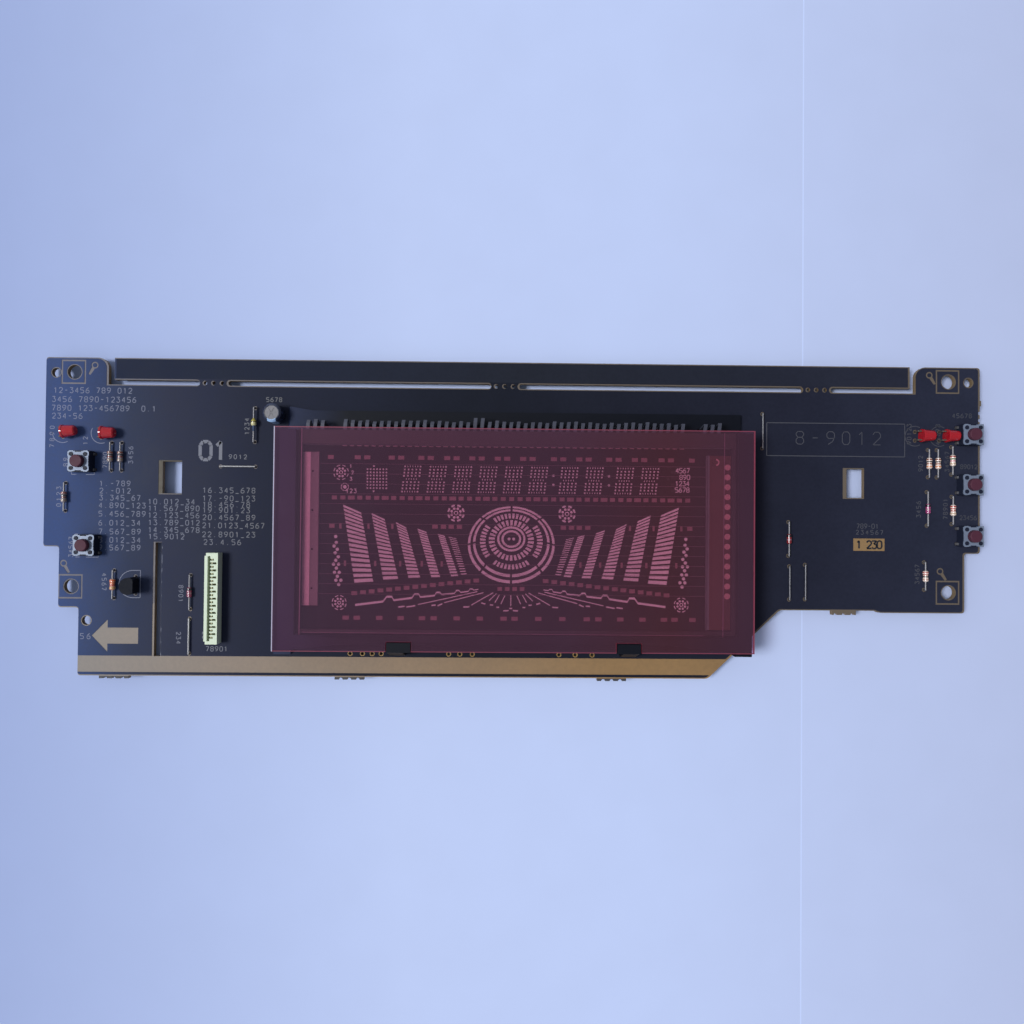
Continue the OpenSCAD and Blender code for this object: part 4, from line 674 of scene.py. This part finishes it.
def finish(name, colour, roughness, spread=0.15, scale=400, metallic=0.0, bump=0.0, coat=0.0,
           alpha=1.0, specular=0.5):
    """A Principled material whose colour and roughness carry a mottle of some spread and scale."""
    mat = bpy.data.materials.new(name)
    mat.use_nodes = True
    tree = mat.node_tree
    shader = shader_of(mat)
    for label, value in (("Metallic", metallic), ("Coat Weight", coat), ("Coat Roughness", 0.08),
                         ("Alpha", alpha), ("Specular IOR Level", specular)):
        shader.inputs[label].default_value = value
    mottle = placed(tree, mottle_group(), Colour=linear(colour), Spread=spread, Scale=scale,
                    Roughness=roughness)
    link(mottle.outputs["Colour"], shader.inputs["Base Color"])
    link(mottle.outputs["Roughness"], shader.inputs["Roughness"])
    if bump:
        node = tree.nodes.new("ShaderNodeBump")
        node.inputs["Strength"].default_value = bump
        node.inputs["Distance"].default_value = 0.05 * MM
        link(mottle.outputs["Height"], node.inputs["Height"])
        link(node.outputs[0], shader.inputs["Normal"])
    return mat


def dress(mat, *nodes):
    """Gives a material to CAD nodes."""
    for name in nodes:
        mesh = NODES[name].data
        mesh.materials.clear()
        mesh.materials.append(mat)


def coated(nodes, *looks, **more):
    """Gives CAD nodes a finish of their own."""
    dress(finish(*looks, **more), *nodes)


def nodes_of(start):
    """Names of the CAD nodes that begin with the same word."""
    return [name for name in NODES if name.startswith(start)]


def shader_of(mat):
    """The Principled shader of a material."""
    return mat.node_tree.nodes["Principled BSDF"]


def colour_source(mat):
    """The socket that feeds a material's base colour."""
    return shader_of(mat).inputs["Base Color"].links[0].from_socket


def along_axis(mat, axis, start, length):
    """A socket that runs from 0 to 1 along one object axis."""
    tree = mat.node_tree
    node = tree.nodes.new("ShaderNodeMapRange")
    node.inputs["From Min"].default_value = start
    node.inputs["From Max"].default_value = start + length
    link(object_axes(tree)[axis], node.inputs["Value"])
    return node.outputs["Result"]


def ramp(factor, stops, constant=False):
    """A colour ramp over (place, colour) stops, by a factor socket."""
    node = factor.id_data.nodes.new("ShaderNodeValToRGB")
    band = node.color_ramp
    band.interpolation = "CONSTANT" if constant else "LINEAR"
    for element, (place, colour) in zip(band.elements, stops):
        element.position, element.color = place, linear(colour)
    for place, colour in stops[len(band.elements):]:
        band.elements.new(place).color = linear(colour)
    link(factor, node.inputs[0])
    return node.outputs["Color"]


def feed_mottle(mat, colour):
    """Gives a material's mottle its colour from a socket, before anything is painted over it."""
    link(colour, colour_source(mat).node.inputs["Colour"])


def paint_along(mat, axis, start, length, stops, constant=False):
    """Gives a material's mottle its colour from stops along one object axis."""
    feed_mottle(mat, ramp(along_axis(mat, axis, start, length), stops, constant))


def paint_over(mat, mask, colour):
    """Covers a material's base colour where the mask is 1; colour is a socket or a colour."""
    link(mix_colour(mask, colour_source(mat), colour), shader_of(mat).inputs["Base Color"])


def see_through(mat, tint, share):
    """Turns a finish into a clear tinted plate: only a share of its surface shows the finish, as a
    faint haze, and the rest lets light through with the tint. Returns the sockets of the tint and
    the share."""
    tree = mat.node_tree
    clear = tree.nodes.new("ShaderNodeBsdfTransparent")
    clear.inputs["Color"].default_value = tint
    both = tree.nodes.new("ShaderNodeMixShader")
    both.inputs[0].default_value = share
    link(clear.outputs[0], both.inputs[1])
    link(shader_of(mat).outputs[0], both.inputs[2])
    link(both.outputs[0], tree.nodes["Material Output"].inputs["Surface"])
    return clear.inputs["Color"], both.inputs[0]


def banded(node, stops, roughness):
    """A glossy lacquer with bands of colour along a lying body."""
    lo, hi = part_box(node)
    mat = finish(node.replace("_", " ").capitalize(), stops[0][1], roughness, 0.12, 1500, coat=0.4)
    paint_along(mat, "Y", lo.y, hi.y - lo.y, stops, constant=True)
    dress(mat, node)


# Fields of the laminate: the date field, the rim of the left window, darkened as painted shade, and
# the tabs at the lower edge
LAMINATE_FIELDS = [
    (from_right(38, 49), from_right(26, 55), (137, 108, 71)),
    (from_left(32.2, 29.4), from_left(39.2, 39), (80, 72, 60)),
    (from_left(-1, 91.28), from_right(-1, 96), (56, 55, 62)),
]

# Lacquers and bands of the resistors; a band's place is its share of the length
CREAMS = [(134, 122, 124)] * 3 + [(196, 142, 116)] + [(222, 202, 190)] * 5
BAND_PLACES = (0.84, 0.64, 0.46, 0.2)
BAND_HALF = 0.055
RESISTOR_BANDS = (
    [[(110, 58, 44), (34, 30, 34), (130, 60, 48), (138, 118, 98)]] * 2
    + [[(130, 60, 48), (34, 30, 34), (110, 58, 44), (138, 118, 98)],
       [(206, 92, 44), (206, 92, 44), (168, 40, 36), (190, 150, 90)]]
    + [[(112, 58, 40), (34, 30, 32), (128, 68, 46), (196, 120, 76)]] * 2
    + [[(150, 52, 48), (60, 100, 62), (196, 128, 140), (176, 148, 122)],
       [(160, 44, 42), (160, 44, 42), (150, 60, 52), (176, 148, 122)],
       [(168, 84, 80), (168, 84, 80), (34, 30, 30), (176, 136, 124)]])
DIODE_TINTS = [(128, 52, 78), (146, 58, 106), (122, 36, 42)]

# The bead capacitor as (r, h)
BEAD_PROFILE = np.array([
    (0, 0), (0.3, 0), (0.34, 1.5), (0.72, 1.75), (0.8, 2.2), (0.72, 2.7), (0.74, 2.8),
    (0.66, 3.2), (0.3, 3.5), (0.25, 3.8), (0, 3.8)]) * MM

# The even light is brightest from the window's side
SKY_STOPS = [(0.0, (0.84, 0.91, 1.0, 1)), (0.5, (0.46, 0.5, 0.57, 1)), (1.0, (0.17, 0.19, 0.22, 1))]


# Settings

def colour_setting(label, text, default):
    """A colour property."""
    return bpy.props.FloatVectorProperty(name=label, description=text, subtype="COLOR", size=4,
                                         min=0, max=1, default=linear(default))


class BoardLooks(bpy.types.PropertyGroup):
    """Colours of the board, its print and its small parts."""
    print_colour: colour_setting("Print", "Colour of the dark print", (24, 27, 38))
    # The left end's colour is the laminate's own colour with a painted sheen
    laminate_left_with_sheen: colour_setting(
        "Laminate, left end", "Colour of the bare laminate at the left end", (132, 124, 118))
    laminate_right: colour_setting(
        "Laminate, right end", "Colour of the bare laminate at the right end", (142, 110, 70))
    tin: colour_setting("Tin", "Colour of tinned wire", (128, 126, 130))
    stroke: bpy.props.FloatProperty(
        name="Stroke", description="Width of the printed strokes", unit="LENGTH",
        subtype="DISTANCE", min=0.00005, max=0.0005, default=0.2 * MM)


class DisplayLooks(bpy.types.PropertyGroup):
    """Colours of the display unit."""
    tint: colour_setting(
        "Filter tint", "Share of each colour that passes the filter", (0.74, 0.44, 0.545, 1))
    haze: colour_setting("Filter haze", "Colour of the filter's own surface", (174, 120, 152))
    haze_share: bpy.props.FloatProperty(
        name="Haze share", description="Share of the filter's surface that shows the haze",
        subtype="FACTOR", min=0, max=1, default=0.11)
    phosphor: colour_setting("Phosphor", "Colour of the unlit pattern", (224, 222, 223))


class LampLooks(bpy.types.PropertyGroup):
    """Colours of the lamps and buttons."""
    lamp: colour_setting("Lamp", "Colour of a lamp's resin", (176, 20, 34))
    button: colour_setting("Button", "Colour of a push button", (78, 42, 56))


class StageLooks(bpy.types.PropertyGroup):
    """Floor, light and camera."""
    floor: colour_setting("Floor", "Colour of the floor", (192, 204, 238))
    key: bpy.props.FloatProperty(
        name="Main lamp", description="Strength of the far lamp in watts per square metre",
        min=0, max=20, default=2.4)
    sky: bpy.props.FloatProperty(
        name="Sky", description="Strength of the even light", min=0, max=2, default=0.75)
    lens: bpy.props.FloatProperty(
        name="Lens", description="Focal length in millimetres on a 36 mm sensor", min=10, max=200,
        default=27.773)


# Stage

def far_lamp(name, toward, power, colour):
    """A far lamp, soft as a window; toward points from the board to the lamp."""
    data = bpy.data.lights.new(name, "SUN")
    data.energy = power
    data.angle = math.radians(LAMP_ANGLE)
    data.color = colour
    lamp = bpy.data.objects.new(name, data)
    bpy.context.scene.collection.objects.link(lamp)
    lamp.matrix_world = (-Vector(toward)).to_track_quat("-Z", "Y").to_matrix().to_4x4()


def floor_piece(colour):
    """A wide flat floor under the board, with painted shade at the far left and a little at the
    right end, and a painted highlight along the edge of a sheet.
    """
    half = FLOOR_HALF
    mesh = bpy.data.meshes.new("floor")
    mesh.from_pydata([(-half, -half, 0), (half, -half, 0), (half, half, 0), (-half, half, 0)], [],
                     [(0, 1, 2, 3)])
    floor = bpy.data.objects.new("floor", mesh)
    bpy.context.scene.collection.objects.link(floor)
    mat = finish("Paper", colour, 0.9, 0.05, 60, specular=0.2)
    shade, dim, edge = [tuple(min(1, c * part) for c, part in zip(colour[:3], parts)) + (1,)
                        for parts in ((0.66, 0.69, 0.78), (0.88, 0.85, 0.84), (1.07, 1.07, 1.07))]
    # Painted shade: darker and bluer at the far left, a little dimmer at the right end
    paint_along(mat, "X", *FLOOR_SPAN, [(0.0, shade), (0.4, colour), (0.62, colour), (1.0, dim)])
    start, end = SHEET_EDGE
    # Painted highlight: a lighter line along the edge of a sheet
    paint_over(mat, inside(mat.node_tree, (start, -half), (end, half)), edge)
    mesh.materials.append(mat)


# Operators

class BOARD_OT_plate(bpy.types.Operator):
    """Finishes the laminate, the dark print, the solder mask and the copper"""
    bl_idname = "displayboard.plate"
    bl_label = "Board plate"

    def execute(self, context):
        looks = context.scene.board_looks
        laminate = finish("Laminate", looks.laminate_right, 0.62, 0.3, 900, bump=0.15)
        # Painted sheen: the bare laminate is greyer and bluer towards the left end; the right end
        # shows its own colour
        paint_along(laminate, "X", *BOARD_SPAN,
                    [(0.0, looks.laminate_left_with_sheen), (0.6, looks.laminate_right)])
        tree = laminate.node_tree
        # Away from the bare strip the laminate shows only in thin lines, which are duller; their
        # bluer left end is painted sheen
        thin = ramp(along_axis(laminate, "X", *BOARD_SPAN),
                    [(0.0, (106, 102, 110)), (0.3, (98, 88, 82)), (0.6, (96, 84, 72))])
        strip = inside(tree, from_left(-1, 70.5), from_right(72, 93))
        paint_over(laminate, math_node("SUBTRACT", 1.0, strip), thin)
        for a, b, colour in LAMINATE_FIELDS:
            paint_over(laminate, inside(tree, a, b), colour)
        paint_over(laminate, placed(tree, edge_group()).outputs["Edge"], (122, 103, 78))
        dress(laminate, "circuit_board")
        dark = finish("Dark print", looks.print_colour, 0.5, 0.3, 1100, bump=0.1, specular=0.08)
        tree = dark.node_tree
        along = along_axis(dark, "X", *BOARD_SPAN)
        # Painted sheen: the print is lighter and bluer towards the left end, and a little lighter
        # again at the right end; on the rail the sheen is painted apart
        body = ramp(along, [
            (0.02, (54, 72, 116)), (0.09, (44, 52, 76)), (0.13, (42, 46, 66)), (0.22, (31, 35, 53)),
            (0.45, looks.print_colour), (0.8, (33, 35, 49)), (1.0, (41, 44, 60))])
        rail_sheen = ramp(along, [(0.0, (23, 32, 56)), (0.5, (33, 36, 46)), (1.0, (38, 40, 54))])
        on_rail = inside(tree, from_left(20, -1), from_right(20, 5.9))
        feed_mottle(dark, mix_colour(on_rail, body, rail_sheen))
        dress(dark, "board_print")
        coated(["solder_mask"], "Solder mask", (38, 72, 46), 0.3, 0.2, 500, coat=0.3)
        coated(["copper_pads"], "Copper", (190, 130, 86), 0.35, 0.2, metallic=1.0)
        coated(nodes_of("solder_joints"), "Solder", (196, 198, 200), 0.3, 0.3, 1500, metallic=1.0,
               bump=0.3)
        return {"FINISHED"}


class BOARD_OT_marks(bpy.types.Operator):
    """Prints plain numbers, outlines and rulings on the board"""
    bl_idname = "displayboard.marks"
    bl_label = "Printed marks"

    def execute(self, context):
        looks = context.scene.board_looks
        mat = finish("Bare marks", looks.laminate_left_with_sheen, 0.6, 0.3, 1200)
        # Painted sheen: the bare marks are lighter and bluer towards the left end
        paint_along(mat, "X", *BOARD_SPAN, [
            (0.0, (111, 117, 147)), (0.26, (104, 103, 104)), (0.46, (92, 90, 92)),
            (0.6, (74, 73, 80)), (1.0, (64, 65, 74))])
        gold = finish("Bare rings", (150, 118, 62), 0.5, 0.3, 1200)
        *ruled, widths = printed_lines()
        big_number = stroke_lines("01", from_left(47.9, 26.5), 5.2 * MM, 7.2 * MM)
        for name, lines, width, colour in (
                ("printed_lines", ruled, widths, mat),
                ("printed_numbers", printed_numbers(), looks.stroke, mat),
                ("big_number", big_number, BIG_STROKE, mat),
                ("spare_rings", spare_rings(), RING_STROKE, gold)):
            bars(name, lines, width, PRINT_TOP, MARK_THICK, colour, "laminate")
        ink = finish("Lot number", looks.print_colour, 0.5, 0.2)
        lot_number = stroke_lines("1 230", from_right(32.6, 52.0), 2.2 * MM, 7.4 * MM)
        bars("lot_number", lot_number, LOT_STROKE, BOARD_HI.z, PRINT_TOP - BOARD_HI.z, ink,
             "black_print")
        return {"FINISHED"}


class BOARD_OT_metal(bpy.types.Operator):
    """Finishes the leads, wires, contacts and switch covers"""
    bl_idname = "displayboard.metal"
    bl_label = "Metal parts"

    def execute(self, context):
        looks = context.scene.board_looks
        coated(["switch_legs", "component_leads", "driver_leads"], "Tinned wire", looks.tin, 0.48,
               0.5, 900, metallic=0.6)
        coated(["lamp_leads"], "Lamp lead", (92, 84, 78), 0.5, 0.4, 900, metallic=0.4)
        wire = finish("Jumper wire", (152, 150, 152), 0.42, 0.4, 700, metallic=0.6)
        # Painted sheen: the jumper wires are lighter towards the left end
        paint_along(wire, "X", *BOARD_SPAN, [(0.2, (152, 150, 152)), (0.8, (104, 103, 108))])
        dress(wire, "jumper_wires")
        coated(["connector_contacts"], "Contacts", (196, 192, 158), 0.5, 0.3, 900, metallic=0.2)
        dull = finish("Dull lead", (68, 70, 83), 0.5, 0.3, 900, metallic=0.3)
        bent = bent_arrays(lead_paths(lead_places(END_LEADS)), LEAD_WIDTHS, LEAD_THICK)
        leads = mesh_piece("bowed_leads", *bent, dull, "tinned")
        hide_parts("display_leads")
        ends = finish("Lead ends", (150, 126, 128), 0.5, 0.3, 900)
        bars("lead_ends", lead_end_lines(), INNER_STROKE, INNER_PRINT_TOP, LEAD_END_THICK, ends,
             "tinned")
        coated(["switch_covers", "switch_domes"], "Rolled steel", (116, 126, 146), 0.5, 0.25, 1400,
               metallic=0.2, bump=0.1)
        coated(["capacitor_can"], "Aluminium", (104, 102, 106), 0.45, metallic=0.3)
        return {"FINISHED"}


class BOARD_OT_filter(bpy.types.Operator):
    """Finishes the red filter: tinted, clear, hazy on top, with painted highlights along its rims,
    whitish at the left, and a painted glow on its cut edges
    """
    bl_idname = "displayboard.filter"
    bl_label = "Filter"

    def execute(self, context):
        looks = context.scene.display_looks
        tinted = finish("Red filter", looks.haze, 0.3, 0.1, 120, specular=0.4)
        # Painted sheen: the haze is bluer at the left end; a painted reflection makes it redder near
        # the right end
        paint_along(tinted, "X", *FILTER_SPAN, [
            (0.0, (164, 122, 160)), (0.3, looks.haze), (0.6, looks.haze), (0.82, (184, 114, 132)),
            (1.0, looks.haze)])
        tint, share = see_through(tinted, looks.tint, looks.haze_share)
        tree = tinted.node_tree
        masks = placed(tree, edge_group(), Middle=DISPLAY.z)
        edge, upper = masks.outputs["Edge"], masks.outputs["Upper"]
        lo, hi = FILTER_LO, FILTER_HI
        # Painted highlights along the rims of the top face, whitish at the left
        left, *others = [inside(tree, a, b) for a, b in (
            ((-FAR, -FAR), (lo.x + 0.28 * MM, FAR)), ((hi.x - 0.3 * MM, -FAR), (FAR, FAR)),
            ((-FAR, hi.y - 0.25 * MM), (FAR, FAR)), ((-FAR, -FAR), (FAR, lo.y + 0.2 * MM)))]
        rim = math_node("MULTIPLY", largest(left, *others), upper)
        shown = [math_node("MULTIPLY", mask, part)
                 for mask, part in ((rim, 0.75), (edge, 0.7), (upper, looks.haze_share))]
        link(largest(*shown), share)
        passed = mix_colour(largest(upper, edge), (1.0, 1.0, 1.0, 1.0), looks.tint)
        link(passed, tint)
        paint_over(tinted, rim, mix_colour(left, (140, 66, 86), (194, 190, 214)))
        paint_over(tinted, edge, (164, 54, 70))
        # Painted glow: the red cut edges give off a little light of their own colour
        shader = shader_of(tinted)
        link(colour_source(tinted), shader.inputs["Emission Color"])
        link(math_node("MULTIPLY", edge, 0.12), shader.inputs["Emission Strength"])
        dress(tinted, "display_filter")
        return {"FINISHED"}


class BOARD_OT_display(bpy.types.Operator):
    """Finishes the display: glass, dark print, pattern and holder"""
    bl_idname = "displayboard.display"
    bl_label = "Display"

    def execute(self, context):
        looks = context.scene.display_looks
        glass = finish("Front glass", (120, 115, 120), 0.1, 0.03)
        see_through(glass, (0.97, 0.97, 0.97, 1), 0.01)
        dress(glass, "front_glass")
        coated(["glass_wall", "glass_seal"], "Dark frit", (34, 30, 34), 0.5, 0.2)
        coated(["back_glass"], "Back glass", (96, 104, 102), 0.2, 0.1)
        coated(["anode_print"], "Inner print", (13, 9, 12), 0.7, 0.25, 300, specular=0.1)
        phosphor, dots, pattern = [
            finish(name, colour, 0.8, 0.12, 1500)
            for name, colour in (("Phosphor", looks.phosphor), ("Dots", (212, 210, 211)),
                                 ("Pattern", looks.phosphor))]
        *lines, tall = character_lines()
        lo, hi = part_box("character_dots")
        piece = bars("character_pattern", lines, tall, lo.z, hi.z - lo.z, dots, "phosphor")
        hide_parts("character_dots")
        words = inside(pattern.node_tree, on_display(41.4, 13.4), on_display(49.6, 21.6))
        paint_over(pattern, words, (20, 16, 20))
        dress(pattern, "anode_segments")
        coated(["grid_tabs"], "Grid feet", (140, 108, 114), 0.6, 0.3, 1500, metallic=0.2)
        anchor = finish("Anchors", (150, 150, 150), 0.5, 0.25, 900, metallic=0.2)
        # The bright bar at the left end is a painted highlight on a raised bar, and the bluish grey
        # zones at both ends are partly painted sheen
        zone, bar, dim = (122, 112, 116), (207, 186, 192), (84, 50, 40)
        paint_along(anchor, "X", on_display(-62, 0)[0], 124 * MM, [
            (0.0, zone), (0.0145, bar), (0.034, zone), (0.1, dim), (0.926, (107, 115, 118)),
            (0.944, dim)], constant=True)
        tree = anchor.node_tree
        # Painted highlight: the anchors' high tops at the right are lighter, where they catch the
        # light
        high = placed(tree, edge_group(), Middle=INNER_PRINT_TOP + 0.42 * MM).outputs["Upper"]
        right = inside(tree, (DISPLAY.x + 57 * MM, -FAR), (FAR, FAR))
        paint_over(anchor, math_node("MULTIPLY", right, high), (196, 150, 150))
        dress(anchor, "filament_anchors", "getter")
        coated(["filament_wires"], "Filament", (120, 100, 110), 0.6, metallic=0.3)
        holder = finish("Holder", (9, 12, 23), 0.5, 0.2, 900, bump=0.1, specular=0.15)
        # Painted sheen: the holder is lighter and bluer at its left end
        paint_along(holder, "X", *FILTER_SPAN, [(0.0, (38, 46, 74)), (0.14, (9, 12, 23))])
        dress(holder, "display_holder")
        bars("display_numbers", display_numbers(), INNER_STROKE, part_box("anode_segments")[1].z,
             INNER_THICK, phosphor, "phosphor")
        film = finish("Film line", (120, 92, 110), 0.4, 0.3, 600)
        bars("film_lines", film_lines(), FILM_WIDTHS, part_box("front_glass")[1].z + FILM_LIFT,
             INNER_THICK, film, "clear_glass")
        return {"FINISHED"}


class BOARD_OT_plastic(bpy.types.Operator):
    """Finishes the connector housing, switch bases, chip, transistor and buttons"""
    bl_idname = "displayboard.plastic"
    bl_label = "Plastic parts"

    def execute(self, context):
        coated(["connector_housing"], "Ivory", (206, 217, 192), 0.5, 0.1, 600, bump=0.05)
        coated(["switch_bases"], "Moulded black", (30, 34, 50), 0.5, 0.2, 900, specular=0.12)
        coated(["driver_chip", "transistor"], "Moulded epoxy", (16, 19, 30), 0.6, 0.25, 1500,
               bump=0.2, specular=0.12)
        coated(nodes_of("switch_button"), "Button", context.scene.lamp_looks.button, 0.55, 0.2, 900,
               specular=0.15)
        return {"FINISHED"}


class BOARD_OT_lamps(bpy.types.Operator):
    """Finishes the lamps and puts the cup and posts inside each"""
    bl_idname = "displayboard.lamps"
    bl_label = "Lamps"

    def execute(self, context):
        coated(LAMPS, "Lamp resin", context.scene.lamp_looks.lamp, 0.1, 0.08, 300, coat=0.6,
               alpha=0.86)
        inner = finish("Lamp frame", (120, 60, 60), 0.35, 0.2, metallic=0.8)
        mesh_piece("lamp_insides", *lamp_insides(), inner, "tinned")
        return {"FINISHED"}


class BOARD_OT_tracks(bpy.types.Operator):
    """Lays the raised copper tracks under the solder mask"""
    bl_idname = "displayboard.tracks"
    bl_label = "Solder side tracks"

    def execute(self, context):
        mat = finish("Masked copper", (58, 104, 62), 0.28, 0.2, 500, coat=0.3)
        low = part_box("solder_mask")[0].z - TRACK_THICK
        bars("solder_side_tracks", track_lines(), TRACK_WIDTH, low, TRACK_THICK, mat, "green_mask")
        return {"FINISHED"}


class BOARD_OT_bands(bpy.types.Operator):
    """Gives each resistor its lacquer and bands, and each diode its tinted glass and dark band"""
    bl_idname = "displayboard.bands"
    bl_label = "Resistors and diodes"

    def execute(self, context):
        for k, (cream, bands) in enumerate(zip(CREAMS, RESISTOR_BANDS), 1):
            stops = [(0.0, cream)]
            for centre, colour in zip(BAND_PLACES, bands):
                stops += [(centre - BAND_HALF, colour), (centre + BAND_HALF, cream)]
            banded("resistor_%d" % k, sorted(stops), 0.28)
        for k, tint in enumerate(DIODE_TINTS, 1):
            banded("diode_%d" % k, [(0.0, tint), (0.36, (140, 96, 108)), (0.5, tint),
                                    (0.7, (28, 22, 26)), (0.92, tint)], 0.1)
        return {"FINISHED"}


class BOARD_OT_capacitors(bpy.types.Operator):
    """Makes the bead capacitor, and finishes the upright capacitor's sleeve with its pale stripe"""
    bl_idname = "displayboard.capacitors"
    bl_label = "Capacitors"

    def execute(self, context):
        lo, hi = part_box("bead_capacitor")
        coat = finish("Bead coat", (168, 158, 84), 0.3, coat=0.4)
        paint_along(coat, "Y", lo.y, hi.y - lo.y, [
            (0.0, (70, 84, 112)), (0.42, (196, 188, 140)), (0.68, (70, 60, 40)),
            (0.74, (166, 152, 66))], constant=True)
        middle = ((lo.x + hi.x) / 2, lo.y, (lo.z + hi.z) / 2)
        bead = mesh_piece("small_bead", *turned_arrays(BEAD_PROFILE, 20, middle, "Y"), coat,
                          "bead_yellow", True)
        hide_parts("bead_capacitor")
        sleeve = finish("Sleeve", (34, 40, 62), 0.25, 0.1, coat=0.4)
        lo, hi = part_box("capacitor_sleeve")
        middle = (lo.x + hi.x) / 2
        half = 1.2 * MM
        stripe = inside(sleeve.node_tree, (middle - half, lo.y - 1 * MM),
                        (middle + half, (lo.y + hi.y) / 2))
        paint_over(sleeve, stripe, (150, 180, 220))
        dress(sleeve, "capacitor_sleeve")
        return {"FINISHED"}


class BOARD_OT_stage(bpy.types.Operator):
    """Makes the floor, the lamp, the even light and the camera"""
    bl_idname = "displayboard.stage"
    bl_label = "Stage"

    def execute(self, context):
        looks = context.scene.stage_looks
        scene = context.scene
        scene.view_settings.view_transform = "Standard"
        floor_piece(tuple(looks.floor))
        world = scene.world or bpy.data.worlds.new("World")
        scene.world = world
        world.use_nodes = True
        tree = world.node_tree
        sky = tree.nodes["Background"]
        side = math_node("MULTIPLY_ADD", object_axes(tree, "Generated")["X"], 0.5, 0.5)
        link(ramp(side, SKY_STOPS), sky.inputs["Color"])
        sky.inputs["Strength"].default_value = looks.sky
        far_lamp("Main lamp", LAMP_TOWARD, looks.key, LAMP_COLOUR)
        data = bpy.data.cameras.new("Camera")
        data.sensor_width = SENSOR
        data.lens = looks.lens
        data.clip_start = 0.01
        data.clip_end = 20
        camera = bpy.data.objects.new("Camera", data)
        scene.collection.objects.link(camera)
        across, up, aside = [Matrix.Rotation(math.radians(angle), 4, axis)
                             for angle, axis in zip(CAMERA_TURN, "XYZ")]
        camera.matrix_world = Matrix.Translation(Vector(CAMERA_AT)) @ (aside @ up @ across)
        scene.camera = camera
        return {"FINISHED"}


# Panel and registration

class BOARD_PT_panel(bpy.types.Panel):
    """Lists the settings and the steps."""
    bl_label = "Display board"
    bl_idname = "BOARD_PT_panel"
    bl_space_type = "VIEW_3D"
    bl_region_type = "UI"
    bl_category = "Display board"

    def draw(self, context):
        for name in GROUPS:
            group = getattr(context.scene, name)
            box = self.layout.box()
            for key in group.__annotations__:
                box.prop(group, key)
        for step in STEPS:
            self.layout.operator(step.bl_idname)


STEPS = (BOARD_OT_plate, BOARD_OT_marks, BOARD_OT_metal, BOARD_OT_filter, BOARD_OT_display,
         BOARD_OT_plastic, BOARD_OT_lamps, BOARD_OT_tracks, BOARD_OT_bands, BOARD_OT_capacitors,
         BOARD_OT_stage)
GROUPS = {"board_looks": BoardLooks, "display_looks": DisplayLooks, "lamp_looks": LampLooks,
          "stage_looks": StageLooks}


def register():
    for cls in list(GROUPS.values()) + list(STEPS) + [BOARD_PT_panel]:
        bpy.utils.register_class(cls)
    for key, cls in GROUPS.items():
        setattr(bpy.types.Scene, key, bpy.props.PointerProperty(type=cls))


def unregister():
    for key in GROUPS:
        delattr(bpy.types.Scene, key)
    for cls in [BOARD_PT_panel] + list(reversed(STEPS)) + list(GROUPS.values()):
        bpy.utils.unregister_class(cls)


def main():
    register()
    for step in STEPS:
        area, name = step.bl_idname.split(".")
        getattr(getattr(bpy.ops, area), name)()


if __name__ == "__main__":
    main()
